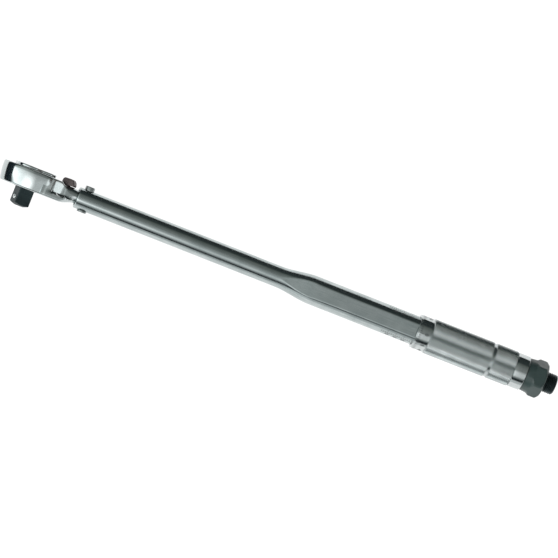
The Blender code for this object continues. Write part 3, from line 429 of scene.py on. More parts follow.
def turned(name: str, profile: Sequence[Point], axis: Axis, centre: Point = (0.0, 0.0),
           steps: int = 96) -> bpy.types.Object:
    """Turn a closed profile of (radius, along) points about an axis.

    Args:
        name: The new object's name.
        profile: The section's outline. Points on the axis have a radius of zero.
        axis: The axis to turn about.
        centre: Where a drive-wise axis stands.
        steps: Facets in a full turn.

    Returns:
        The new object.
    """
    bm = bmesh.new()
    rows = []
    for radius, along in profile:
        if radius <= 0.0:
            rows.append([bm.verts.new(axis.point(along, 0.0, 0.0, centre))])
        else:
            rows.append([bm.verts.new(axis.point(along, radius, FULL * i / steps, centre))
                         for i in range(steps)])
    for near, far in zip(rows, rows[1:] + rows[:1]):
        if len(near) == 1 and len(far) == 1:
            continue
        for i in range(steps):
            k = (i + 1) % steps
            corners = [near[0]] if len(near) == 1 else [near[i], near[k]]
            corners += [far[0]] if len(far) == 1 else [far[k], far[i]]
            bm.faces.new(corners)
    return solid(name, bm)


def prism(name: str, outline: Sequence[Point], low: float, high: float, edge: float = 0.0,
          centre: Point = (0.0, 0.0), turn: float = 0.0) -> bpy.types.Object:
    """Raise an (x, z) outline along the drive axis, with chamfered rims.

    Args:
        name: The new object's name.
        outline: The outline in millimetres.
        low: Lift of its foot.
        high: Lift of its top.
        edge: Chamfer at both rims.
        centre: Where the outline's own origin stands, as (x, z).
        turn: Turn of the outline in radians, from +X to +Z.

    Returns:
        The new object.
    """
    bm = bmesh.new()
    cos, sin = math.cos(turn), math.sin(turn)
    corners = [bm.verts.new(Vector((centre[0] + x * cos - z * sin, LIFT + low,
                                    centre[1] + x * sin + z * cos)) * MM) for x, z in outline]
    grown = bmesh.ops.extrude_face_region(bm, geom=[bm.faces.new(corners)])
    raised = [v for v in grown["geom"] if isinstance(v, bmesh.types.BMVert)]
    bmesh.ops.translate(bm, verts=raised, vec=(0.0, (high - low) * MM, 0.0))
    if edge:
        rims = [e for e in bm.edges if abs(e.verts[0].co.y - e.verts[1].co.y) < 1e-7]
        bmesh.ops.bevel(bm, geom=rims, offset=edge * MM, segments=3, profile=0.5, affect="EDGES")
    return solid(name, bm)


def carve(item: bpy.types.Object, others: Iterable[bpy.types.Object], operation: str = "DIFFERENCE") -> None:
    """Cut other solids out of an item, or join them on, and remove them.

    Args:
        item: The solid to change.
        others: The solids to use.
        operation: The Boolean operation.
    """
    for other in others:
        change = item.modifiers.new("change", "BOOLEAN")
        change.operation = operation
        change.solver = "EXACT"
        change.object = other
        bpy.context.view_layer.update()
        result = bpy.data.meshes.new_from_object(item.evaluated_get(bpy.context.evaluated_depsgraph_get()))
        item.modifiers.clear()
        item.data = result
        bpy.data.objects.remove(other, do_unlink=True)
    item.data.shade_smooth()
    item.data.set_sharp_from_angle(angle=math.radians(SHARP_DEG))


def wear(item: bpy.types.Object, finish: Finish, slot: str, body: str, *nodes: str) -> None:
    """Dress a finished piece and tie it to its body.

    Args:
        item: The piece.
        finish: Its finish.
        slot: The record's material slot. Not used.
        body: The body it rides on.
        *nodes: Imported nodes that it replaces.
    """
    item.data.materials.clear()
    item.data.materials.append(PAINTS.get(finish))
    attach(item, body)
    if nodes:
        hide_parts(*nodes)
    LOG.info("made %s with %d faces", item.name, len(item.data.polygons))


# ------------------------------------------------------------------ head


@dataclass
class Head:
    """The round ratchet head, its neck, cover plate and screws."""

    box: Extent = Extent.of("head_casing")
    cover_box: Extent = Extent.of("head_cover")
    # Crown and edges of the forging
    crown: float = 1.5
    crown_top: float = 0.5
    crown_from: float = 6.0
    top_round: float = 1.3
    under_round: float = 1.5
    floor: float = 3.1
    pocket_radius: float = 13.2
    boss_hole: float = 10.3
    # Neck, seen from above and from the side
    neck_from: float = 10.0
    neck_to: float = 41.4
    fall_deg: float = 35.0
    facet_lean_deg: float = 4.0
    shoulder_low: float = -4.4
    shoulder_high: float = -2.6
    arm_radius: float = 5.7
    pivot: float = Extent.of("pivot_pin").middle[0]
    # Cover plate
    cover_radius: float = 14.4
    lobe: float = 5.9
    lobe_half_deg: float = 57.0
    outline_steps: int = 240
    cover_gap: float = 0.05
    cover_sunk: float = 0.25
    cover_edge: float = 0.45
    # Steps up the crown, and the step where its lower edge starts
    crown_steps: int = 12
    under_from: int = 8
    # Holes
    boss_chamfer: float = 0.5
    pin_hole: float = 2.25
    pivot_hole: float = 3.3
    pivot_reach: float = 12.0
    # Neck's flanks: distance inside the head's circle, blends, and the ends of the facet
    flank_inset: float = 0.3
    flank_blend: float = 0.8
    facet_starts: tuple[float, float] = (18.6, 19.8)
    facet_ends: tuple[float, float] = (27.5, 29.5)
    shoulder_power: float = 1.15
    neck_steps: int = 44
    neck_sunk: float = 0.12
    seat_step: tuple[float, float] = (25.4, 28.4)
    sink_from: float = 27.5
    sink_power: float = 1.2
    edge_round: float = 1.3
    rounding: tuple[float, float] = (26.0, 36.0)
    arm_tip: float = 5.2
    # Countersinks, screws and their hexagon sockets
    sink_radius: float = 2.6
    sink_core: float = 1.5
    sink_depth: float = 1.1
    screw_core: float = 1.25
    screw_head: float = 2.28
    screw_drop: float = 0.08
    screw_cone: float = 1.05
    key_radius: float = 1.2
    key_depth: float = 0.8

    @property
    def top(self) -> float:
        """Return the lift of the casing's top face."""
        return self.box.high[1] - LIFT

    @property
    def bottom(self) -> float:
        """Return the lift of the casing's under face."""
        return self.box.low[1] - LIFT

    def casing(self) -> None:
        """Make the forged casing with its hollow for the gear."""
        radius = self.box.radius
        over = softened([(radius, self.crown_from), (radius - self.crown_top, self.top),
                         (0.0, self.top)], self.top_round, closed=False, steps=6)
        depth = self.crown_from - self.bottom
        side = []
        for i in range(self.crown_steps + 1):
            share = i / self.crown_steps
            side.append((radius - self.crown * share ** 2, self.crown_from - depth * share))
        under = softened([(0.0, self.bottom), side[-1], side[self.under_from]], self.under_round,
                         closed=False, steps=8)
        profile = under[:-1] + side[self.under_from:0:-1] + over
        casing = turned("head_forging", profile, Axis.DRIVE, steps=BROAD_STEPS)
        carve(casing, [self.neck()], "UNION")
        drive = Extent.of("drive_gear")
        pawl_pin = Extent.of("pawl_pin")
        below = self.bottom - OVERRUN
        carve(casing, [
            turned("pocket", [(0, self.bottom + self.floor), (self.pocket_radius, self.bottom + self.floor),
                              (self.pocket_radius, self.top + OVERRUN), (0, self.top + OVERRUN)],
                   Axis.DRIVE),
            turned("hole", [(0, below), (self.boss_hole + self.boss_chamfer, below),
                            (self.boss_hole + self.boss_chamfer, self.bottom),
                            (self.boss_hole, self.bottom + self.boss_chamfer),
                            (self.boss_hole, self.top), (0, self.top)], Axis.DRIVE,
                   (drive.middle[0], drive.middle[2])),
            turned("pin_hole", [(0, below), (self.pin_hole, below), (self.pin_hole, 0), (0, 0)],
                   Axis.DRIVE, (pawl_pin.middle[0], pawl_pin.middle[2]), 40),
            turned("pivot_hole", [(0, -self.pivot_reach), (self.pivot_hole, -self.pivot_reach),
                                  (self.pivot_hole, self.pivot_reach), (0, self.pivot_reach)],
                   Axis.DRIVE, (self.pivot, 0.0), 40),
        ])
        wear(casing, HEAD_CHROME, "head_chrome", "head", "head_casing")

    def flank(self, x: float, lift: float) -> float:
        """Return the neck's half width.

        Args:
            x: Distance along the tool.
            lift: Lift above the tool axis.

        Returns:
            Half the width there. A straight fall leaves the head's circle above a forged
            shoulder, which narrows more gently.
        """
        leave = math.radians(self.fall_deg)
        from_x, from_z = self.box.radius * math.sin(leave), self.box.radius * math.cos(leave)
        if x < from_x:
            fall = math.sqrt(self.box.radius ** 2 - x * x) - self.flank_inset
        else:
            fall = from_z - self.flank_inset - (x - from_x) * math.tan(leave)
        soft = self.flank_blend
        lean = smooth_step(*self.facet_starts, x) * (1.0 - smooth_step(*self.facet_ends, x))
        fall += lean * (lift - self.top) * math.tan(math.radians(self.facet_lean_deg))
        fall = self.arm_radius + soft * math.log1p(math.exp((fall - self.arm_radius) / soft))
        share = min(1.0, max(0.0, (x - from_x) / (self.neck_to - from_x)))
        shoulder = self.arm_radius + (from_z - self.flank_inset - self.arm_radius) * (
            1.0 - share) ** self.shoulder_power
        if x < from_x:
            shoulder = fall
        mix = 1.0 - smooth_step(self.shoulder_low, self.shoulder_high, lift)
        return fall + (max(shoulder, fall) - fall) * mix

    def neck(self) -> bpy.types.Object:
        """Make the neck, which narrows from the head's full width to the round arm.

        Returns:
            The neck as a closed solid.
        """
        seat = lever_seat(Extent.of("reverse_lever"))
        rings = []
        for i in range(self.neck_steps + 1):
            x = self.neck_from + (self.neck_to - self.neck_from) * i / self.neck_steps
            step = smooth_step(*self.seat_step, x)
            close = smooth_step(self.rounding[1], self.neck_to, x)
            high = (self.top - self.neck_sunk) * (1 - step) + seat * step
            high = high * (1 - close) + self.arm_radius * close
            sink = smooth_step(self.sink_from, self.neck_to, x) ** self.sink_power
            low = self.bottom + self.neck_sunk + (-self.arm_radius - self.bottom) * sink
            round_off = self.edge_round + (self.arm_radius - self.edge_round) * smooth_step(
                *self.rounding, x)
            rings.append(self.section(x, high, low, round_off))
        arm_end = self.box.high[0]
        for x, r in ((self.pivot + 8.0, self.arm_radius), (self.pivot + 9.5, self.arm_tip),
                     (arm_end - 0.5, self.arm_tip), (arm_end, self.arm_tip - 0.4)):
            rings.append(self.section(x, r, -r, r))
        return skin("neck", rings)

    def section(self, x: float, high: float, low: float, corner: float, per: int = 7,
                rows: int = 14) -> Ring:
        """Return one section across the neck.

        Args:
            x: Where it stands along the tool.
            high: Lift of its top.
            low: Lift of its foot.
            corner: How far the top and bottom edges are rounded.
            per: Chords in each rounded edge.
            rows: Steps up each flank.

        Returns:
            The ring's points in metres.
        """
        corner = min(corner, (high - low) / 2)
        side: list[Point] = []
        for i in range(per + 1):
            angle = math.radians(90.0 * i / per)
            side.append((low + corner * (1 - math.cos(angle)), corner * (1 - math.sin(angle))))
        for i in range(1, rows):
            side.append((low + corner + (high - low - 2 * corner) * i / rows, 0.0))
        for i in range(per + 1):
            angle = math.radians(90.0 * i / per)
            side.append((high - corner * (1 - math.sin(angle)), corner * (1 - math.cos(angle))))
        ring = []
        for sign, points in ((1, side), (-1, side[::-1])):
            for lift, inset in points:
                half = self.flank(x, lift) if x < self.neck_to else corner
                ring.append(Vector((x, LIFT + lift, sign * max(half - inset, 0.0))) * MM)
        return ring

    def cover(self) -> None:
        """Make the lobed cover plate and its countersunk screws."""
        screws = {f"cover_screw_{i}": Extent.of(f"cover_screw_{i}") for i in (1, 2, 3)}
        spots = [(box.middle[0], box.middle[2]) for box in screws.values()]
        angles = [math.degrees(math.atan2(z, x)) for x, z in spots]
        outline = []
        for i in range(self.outline_steps):
            angle = 360.0 * i / self.outline_steps
            swell = 0.0
            for lobe in angles:
                away = abs((angle - lobe + 180.0) % 360.0 - 180.0)
                if away < self.lobe_half_deg:
                    swell = max(swell, math.cos(math.radians(away * 90.0 / self.lobe_half_deg)) ** 2)
            radius = self.cover_radius + self.lobe * swell - self.cover_gap
            outline.append((radius * math.cos(math.radians(angle)), radius * math.sin(math.radians(angle))))
        low, high = self.cover_box.low[1] - LIFT - self.cover_sunk, self.cover_box.high[1] - LIFT
        plate = prism("cover_plate", outline, low, high, self.cover_edge)
        sinks = []
        for spot in spots:
            sinks.append(turned("sink", [
                (0, low - 1), (self.sink_core, low - 1), (self.sink_core, high - self.sink_depth),
                (self.sink_radius, high), (self.sink_radius, high + 1), (0, high + 1)],
                Axis.DRIVE, spot, SMALL_STEPS))
        carve(plate, sinks)
        wear(plate, HEAD_CHROME, "head_chrome", "head", "head_cover")
        for (name, box), spot in zip(screws.items(), spots):
            foot, top = box.low[1] - LIFT, high - self.screw_drop
            screw = turned(f"{name}_machined",
                           [(0, foot), (self.screw_core, foot), (self.screw_core, top - self.screw_cone),
                            (self.screw_head, top - self.screw_drop),
                            (self.screw_head - self.screw_drop, top), (0, top)],
                           Axis.DRIVE, spot, SMALL_STEPS)
            hexagon = [(self.key_radius * math.cos(FULL * i / 6), self.key_radius * math.sin(FULL * i / 6))
                       for i in range(6)]
            carve(screw, [prism("socket", hexagon, top - self.key_depth, top + 1, centre=spot)])
            wear(screw, BLACK_OXIDE, "black_oxide_steel", "head", name)

    def build(self) -> None:
        """Make every visible piece of the head."""
        self.casing()
        self.cover()


def smooth_step(start: float, end: float, value: float) -> float:
    """Return 0 before start, 1 after end and a smooth rise between them."""
    share = min(1.0, max(0.0, (value - start) / (end - start)))
    return share * share * (3.0 - 2.0 * share)


def lever_seat(lever: Extent) -> float:
    """Return the lift of the neck's flat under the reversing lever."""
    return lever.high[1] - LIFT - 5.7


# ------------------------------------------------------------------ square drive


# Radius of the ball that holds a socket, in millimetres
BALL_RADIUS = 2.35


@dataclass
class SquareDrive:
    """The blackened square with its boss, ball hole and ball."""

    side: float = 12.7
    corner: float = 0.9
    end_face: float = 3.6
    end_cut: float = 2.0
    end_wide: float = 9.0
    boss_radius: float = 10.0
    ball_hole: float = 2.55
    bore_back: float = 2.4
    bore_length: float = 15.0
    # How far the square runs into its boss, and its edges
    root: float = 1.5
    rim: float = 0.25
    end_round: float = 0.8
    end_pass: float = 0.05
    boss_proud: float = 0.2
    boss_edge: float = 0.4
    # Gear behind the boss
    teeth: int = 36
    per_tooth: int = 6
    tooth_root: float = 11.9
    tooth_height: float = 1.0
    tooth_slope: float = 1.15
    gear_from: float = 3.4
    gear_top: float = 2.9

    def build(self) -> None:
        """Make the square, its boss and the ball."""
        box = Extent.of("drive_gear")
        head = Extent.of("head_casing")
        ball = Extent.of("detent_ball")
        foot, under = box.low[1] - LIFT, head.low[1] - LIFT
        ball_spot = Vector((ball.middle[0], ball.middle[2]))
        turn = math.atan2(ball_spot.y, ball_spot.x)
        half = self.side / 2
        corners = [(half, half), (-half, half), (-half, -half), (half, -half)]
        outline = softened(corners, self.corner, steps=8)
        square = prism("square_drive", outline, foot, under + self.root, self.rim, turn=turn)
        ground = turned("ground_end", softened([
            (0, foot - self.end_pass), (self.end_face, foot - self.end_pass),
            (self.end_wide, foot + self.end_cut),
            (self.end_wide, under + OVERRUN), (0, under + OVERRUN)], self.end_round, closed=False,
            steps=6), Axis.DRIVE)
        carve(square, [ground], "INTERSECT")
        boss_foot, boss_top = under - self.boss_proud, box.high[1] - LIFT
        boss = turned("boss", softened([(0, boss_foot), (self.boss_radius, boss_foot),
                                        (self.boss_radius, boss_top), (0, boss_top)],
                                       self.boss_edge, closed=False), Axis.DRIVE)
        teeth = []
        count = self.teeth * self.per_tooth
        for i in range(count):
            wave = abs(2.0 * ((i / self.per_tooth) % 1.0) - 1.0)
            reach = self.tooth_root + min(self.tooth_height, wave * self.tooth_slope)
            teeth.append((reach * math.cos(FULL * i / count), reach * math.sin(FULL * i / count)))
        gear = prism("teeth", teeth, under + self.gear_from, self.gear_top)
        hole_axis = Vector((math.cos(turn), 0.0, math.sin(turn)))
        lift = ball.middle[1] - LIFT
        bore = cylinder("ball_bore", self.ball_hole,
                        Vector((0.0, LIFT + lift, 0.0)) * MM - hole_axis * self.bore_back * MM,
                        hole_axis, self.bore_length)
        carve(square, [boss, gear], "UNION")
        carve(square, [bore])
        wear(square, BLACK_OXIDE, "black_oxide_steel", "drive", "drive_gear")
        sphere(ball)


def cylinder(name: str, radius: float, start: Vector, direction: Vector, reach: float) -> bpy.types.Object:
    """Return a plain cylinder used for cutting.

    Args:
        name: The new object's name.
        radius: Its radius in millimetres.
        start: The middle of its near end, in metres.
        direction: The way it leaves that point.
        reach: Its length in millimetres.

    Returns:
        The new object.
    """
    bm = bmesh.new()
    turn = direction.to_track_quat("Z", "Y").to_matrix().to_4x4()
    middle = start + direction.normalized() * (reach / 2 * MM)
    bmesh.ops.create_cone(bm, cap_ends=True, segments=SMALL_STEPS, radius1=radius * MM, radius2=radius * MM,
                          depth=reach * MM, matrix=Matrix.Translation(middle) @ turn)
    return solid(name, bm)


def sphere(box: Extent) -> None:
    """Make the socket-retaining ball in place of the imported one.

    Args:
        box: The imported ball's box.
    """
    bm = bmesh.new()
    bmesh.ops.create_uvsphere(bm, u_segments=SMALL_STEPS, v_segments=SMALL_STEPS // 2,
                              radius=BALL_RADIUS * MM,
                              matrix=Matrix.Translation(Vector(box.middle) * MM))
    wear(solid("socket_ball", bm), BALL_STEEL, "ball_steel", "ball", "detent_ball")


# ------------------------------------------------------------------ reversing lever


@dataclass
class ReversingLever:
    """The cast thumb lever, its ribs and its post."""

    back: float = 3.8
    reach: float = 7.5
    height: float = 5.4
    half_width: float = 3.4
    swing_deg: float = 24.0
    ribs: int = 5
    bore_radius: float = 1.4
    bore_end: float = 1.9
    bore_length: float = 8.0
    # Ribs of the thumb pad, and how the slices shrink at its sides
    per_rib: int = 4
    rib_depth: float = 0.42
    arch: float = 0.1
    round_radius: float = 2.3
    pull: float = 0.13
    pull_from: float = 0.84
    flare: float = 0.16
    flare_span: tuple[float, float] = (-2.0, 6.0)
    post_radius: float = 3.4
    post_drop: float = 2.3
    slices: tuple[float, ...] = (
        -1.0, -0.985, -0.93, -0.84, -0.6, 0.0, 0.6, 0.84, 0.93, 0.985, 1.0)

    def build(self) -> None:
        """Make the lever as slices across its width."""
        box = Extent.of("reverse_lever")
        plunger = Extent.of("lever_plunger")
        joint = next(j for j in frame["joints"] if j["name"] == "lever_turn")
        pivot = joint["pos_m"][0] / MM
        top = box.high[1] - LIFT
        low = top - self.height
        # Side outline: sole, front edge, ribbed top and round back
        side = [(-self.back, low), (self.reach - 0.3, low), (self.reach, low + 1.2),
                (self.reach - 1.0, top - 1.5)]
        side += arc((self.reach - 3.5, top - self.round_radius), self.round_radius, 25, 80, 4)
        span = self.reach - 3.5 + self.back - 2.7
        for i in range(self.ribs * self.per_rib + 1):
            share = i / (self.ribs * self.per_rib)
            x = self.reach - 3.3 - span * share
            side.append((x, top - self.rib_depth * (0.5 - 0.5 * math.cos(FULL * share * self.ribs))
                         + self.arch * math.sin(math.pi * share)))
        side += arc((-self.back + 2.4, top - 2.4), self.round_radius, 110, 178, 4)
        rings = []
        cos, sin = math.cos(math.radians(self.swing_deg)), math.sin(math.radians(self.swing_deg))
        middle = (sum(x for x, _ in side) / len(side), (low + top) / 2)
        for share in self.slices:
            past = max(0.0, (abs(share) - self.pull_from) / (1.0 - self.pull_from))
            pull = 1.0 - self.pull * past ** 2
            z = share * self.half_width
            ring = []
            for x, lift in side:
                px = middle[0] + (x - middle[0]) * pull
                ly = low + (lift - low) * pull
                wide = 1.0 + self.flare * smooth_step(*self.flare_span, x)
                ring.append(Vector((pivot + px * cos - z * wide * sin, LIFT + ly,
                                    px * sin + z * wide * cos)) * MM)
            rings.append(ring)
        lever = skin("thumb_lever", rings)
        foot = plunger.middle[1] - LIFT - self.post_drop
        post = turned("post", [(0, foot), (self.post_radius, foot), (self.post_radius, low + 1),
                               (0, low + 1)], Axis.DRIVE, (pivot, 0.0), PIN_STEPS)
        carve(lever, [post], "UNION")
        toward = Vector((-cos, 0.0, -sin))
        bore_end = Vector((pivot, plunger.middle[1], 0.0)) * MM - toward * self.bore_end * MM
        bore = cylinder("bore", self.bore_radius, bore_end, toward, self.bore_length)
        carve(lever, [bore])
        wear(lever, CAST_STEEL, "cast_lever", "lever", "reverse_lever")


# ------------------------------------------------------------------ tube and pivot


@dataclass
class TubeBody:
    """The stepped chromed tube with its flats and engraved scales."""

    box: Extent = TUBE_BOX
    front_radius: float = 8.8
    front_bore: float = 7.2
    rear_bore: float = 9.3
    flare_from: float = 219.0
    flare_to: float = 250.0
    flat_height: float = 10.5
    flat_to: float = 262.0
    blend: float = 0.22
    scale_from: float = 313.0
    turn_pitch: float = 1.75
    steps: int = BROAD_STEPS
    plain_steps: int = 12
    flare_steps: int = 28
    flat_sunk: float = 0.06
    least_facing: float = 0.05
    # Distance behind the mouth and inset of each ring of its rounded lip
    mouth_rings: tuple[Point, ...] = ((0.0, -0.7), (0.12, -0.3), (0.5, -0.05), (0.9, 0.0))
    end_chamfer: float = 0.5
    bore_lip: tuple[float, float] = (0.5, 0.4)
    part_gap: float = 2.0
    bore_step: tuple[float, float] = (249.0, 252.0)
    pin_hole: float = 3.2
    pin_reach: float = 14.0
    # Scales: place round the tube, then lines and numbers, with angles in radians
    scale_deg: float = 58.0
    line_half: float = 0.011
    marks: int = 17
    per_number: int = 4
    first_mark: float = 0.9
    mark_half: float = 0.2
    long_mark: float = 0.30
    short_mark: float = 0.17
    number_back: float = 0.2
    number_size: float = 3.6

    @property
    def rear_radius(self) -> float:
        """Return the outside radius behind the flare."""
        return (self.box.high[1] - self.box.low[1]) / 2

    def outer(self, x: float, angle: float) -> float:
        """Return the outside radius at a place.

        Args:
            x: Distance along the tool.
            angle: Turn from +Z towards +Y in radians.

        Returns:
            The radius, where the flats are pressed in with a soft edge.
        """
        share = smooth_step(self.flare_from, self.flare_to, x)
        round_radius = self.front_radius + (self.rear_radius - self.front_radius) * share
        facing = max(abs(math.cos(angle)), self.least_facing)
        rise = smooth_step(self.flare_from, self.flat_to, x)
        first = self.front_radius - self.flat_sunk
        flat = (first + (self.flat_height - first) * rise) / facing
        gap = flat - round_radius
        if gap > self.blend:
            return round_radius
        if gap < -self.blend:
            return flat
        near = 0.5 - 0.5 * gap / self.blend
        return round_radius * (1 - near) + flat * near - self.blend * near * (1 - near) * 0.5

    def build(self) -> None:
        """Make the tube with its hole for the pivot pin, and its scales."""
        mouth, end = self.box.low[0], self.box.high[0]
        plain, flare, gap = self.plain_steps, self.flare_steps, self.part_gap
        stations = [(mouth + past, inset) for past, inset in self.mouth_rings]
        stations += [(mouth + gap + (self.flare_from - mouth - 2 * gap) * i / plain, 0.0)
                     for i in range(plain + 1)]
        stations += [(self.flare_from + (self.flare_to - self.flare_from) * i / flare, 0.0)
                     for i in range(flare + 1)]
        stations += [(self.flare_to + gap + (end - self.flare_to - 2 * gap) * i / plain, 0.0)
                     for i in range(plain + 1)]
        stations += [(end - self.end_chamfer, 0.0), (end, -self.end_chamfer)]
        rings = []
        for x, inset in stations:
            rings.append([Axis.TOOL.point(x, self.outer(x, FULL * i / self.steps) + inset,
                                          FULL * i / self.steps) for i in range(self.steps)])
        for x, radius in ((end, self.rear_bore), (self.bore_step[1], self.rear_bore),
                          (self.bore_step[0], self.front_bore),
                          (mouth + self.bore_lip[0], self.front_bore),
                          (mouth, self.front_bore + self.bore_lip[1])):
            rings.append([Axis.TOOL.point(x, radius, FULL * i / self.steps) for i in range(self.steps)])
        tube = skin("chromed_tube", rings, closed=True)
        pin = Extent.of("pivot_pin")
        carve(tube, [turned("hole", [(0, -self.pin_reach), (self.pin_hole, -self.pin_reach),
                                     (self.pin_hole, self.pin_reach), (0, self.pin_reach)],
                            Axis.DRIVE, (pin.middle[0], 0.0), SMALL_STEPS)])
        wear(tube, TUBE_CHROME, "tube_chrome", "tube_body", "tube")
        for sign, first, step in ((1, 20, 20), (-1, 10, 15)):
            self.scale(sign, first, step)

    def scale(self, sign: int, first: int, step: int) -> None:
        """Make one engraved scale beside the flat.

        Args:
            sign: 1 for the +Y side and -1 for the -Y side.
            first: The number nearest the handle.
            step: What each numbered line adds.
        """
        collar = Extent.of("graduated_collar").low[0]
        radius = self.rear_radius
        middle = sign * math.radians(self.scale_deg)
        marks = Engraving(radius, "scale_marks_y" if sign > 0 else "scale_marks_lower")
        marks.band(self.scale_from, collar + 3.0, middle - self.line_half, middle + self.line_half)
        for i in range(self.marks):
            x = collar - self.first_mark - i * self.turn_pitch
            if x < self.scale_from + 0.2:
                break
            numbered = i % self.per_number == 0
            length = self.long_mark if numbered else self.short_mark
            marks.band(x - self.mark_half, x + self.mark_half, middle, middle + length)
            if numbered:
                marks.number(str(first + step * (i // self.per_number)), x,
                             middle - self.number_back, self.number_size)
        wear(marks.finish(), MARK_PAINT, "black_oxide_steel", "tube_body")


class Engraving:
    """Filled marks on a round surface about the tool axis, as thin curved solids."""

    # Height and depth of a mark, chord of its bend in radians, and letter weight
    PROUD = 0.025
    DEEP = 0.12
    STEP = 0.04
    BOLD = 0.02

    def __init__(self, radius: float, name: str) -> None:
        """Start an empty set of marks.

        Args:
            radius: Radius of the surface that they lie in.
            name: Name of the finished piece.
        """
        self.radius = radius
        self.name = name
        self.bm = bmesh.new()

    def band(self, x_low: float, x_high: float, low: float, high: float) -> None:
        """Add a rectangular mark.

        Args:
            x_low: Its end nearer the drive.
            x_high: Its end nearer the grip.
            low: Its first angle in radians.
            high: Its last angle in radians.
        """
        steps = max(1, int(abs(high - low) / self.STEP))
        rows = []
        for i in range(steps + 1):
            angle = low + (high - low) * i / steps
            rows.append([self.bm.verts.new(Axis.TOOL.point(x, r, angle)) for x, r in (
                (x_low, self.radius - self.DEEP), (x_high, self.radius - self.DEEP),
                (x_high, self.radius + self.PROUD), (x_low, self.radius + self.PROUD))])
        for near, far in zip(rows, rows[1:]):
            for i in range(4):
                k = (i + 1) % 4
                self.bm.faces.new((near[i], near[k], far[k], far[i]))
        self.bm.faces.new(rows[0])
        self.bm.faces.new(rows[-1])

    def number(self, text: str, x: float, angle: float, size: float, across: bool = False) -> None:
        """Add a number, wrapped onto the surface.

        Args:
            text: The digits.
            x: Where the number's middle stands along the tool.
            angle: Angle of its middle in radians.
            size: Letter size in millimetres.
            across: True if it reads round the tool, False if it reads along it.
        """
        curve = bpy.data.curves.new(text, "FONT")
        curve.body = text
        curve.size = size
        curve.align_x = "CENTER"
        curve.align_y = "CENTER"
        curve.extrude = (self.PROUD + self.DEEP) / 2
        curve.offset = self.BOLD * size
        curve.resolution_u = 3
        item = bpy.data.objects.new(text, curve)
        bpy.context.scene.collection.objects.link(item)
        bpy.context.view_layer.update()
        mesh = bpy.data.meshes.new_from_object(item.evaluated_get(bpy.context.evaluated_depsgraph_get()))
        bpy.data.objects.remove(item, do_unlink=True)
        bpy.data.curves.remove(curve)
        middle = self.radius + (self.PROUD - self.DEEP) / 2
        for vertex in mesh.vertices:
            u, v, w = vertex.co
            along, round_about = (v, -u) if across else (u, v)
            vertex.co = Axis.TOOL.point(x + along, middle + w, angle + round_about / self.radius)
        self.bm.from_mesh(mesh)
        bpy.data.meshes.remove(mesh)

    def finish(self) -> bpy.types.Object:
        """Return the marks as one piece."""
        return solid(self.name, self.bm)


@dataclass
class PivotPin:
    """The pin that the head tilts on, with its head and far cap."""

    edge: float = 0.7
    shank: float = 3.0
    sunk: float = 0.45
    dimple: tuple[float, float] = (1.6, 1.2)
    dimple_depth: float = 0.5

    def build(self) -> None:
        """Make the pin and its cap."""
        pin, cap = Extent.of("pivot_pin"), Extent.of("pivot_pin_cap")
        centre = (pin.middle[0], pin.middle[2])
        radius = pin.radius
        top, under = pin.high[1] - LIFT, TubeBody.front_radius - self.sunk
        profile = [(0, pin.low[1] - LIFT), (self.shank, pin.low[1] - LIFT), (self.shank, under),
                   (radius, under), (radius, top), (0, top)]
        head = profile[:3] + softened(profile[3:], self.edge, closed=False, steps=5)[:-1]
        bed = top - self.dimple_depth
        head += [(self.dimple[0], top), (self.dimple[1], bed), (0, bed)]
        wear(turned("pivot_pin_turned", head, Axis.DRIVE, centre, PIN_STEPS), GROUND_STEEL, "ground_steel",
             "tube_body", "pivot_pin")
        low, high = cap.low[1] - LIFT, -under
        profile = softened([(0, low), (radius, low), (radius, high), (0, high)], self.edge,
                           closed=False, steps=5)
        wear(turned("pivot_cap_turned", profile, Axis.DRIVE, centre, PIN_STEPS), GROUND_STEEL, "ground_steel",
             "tube_body", "pivot_pin_cap")


# ------------------------------------------------------------------ handle


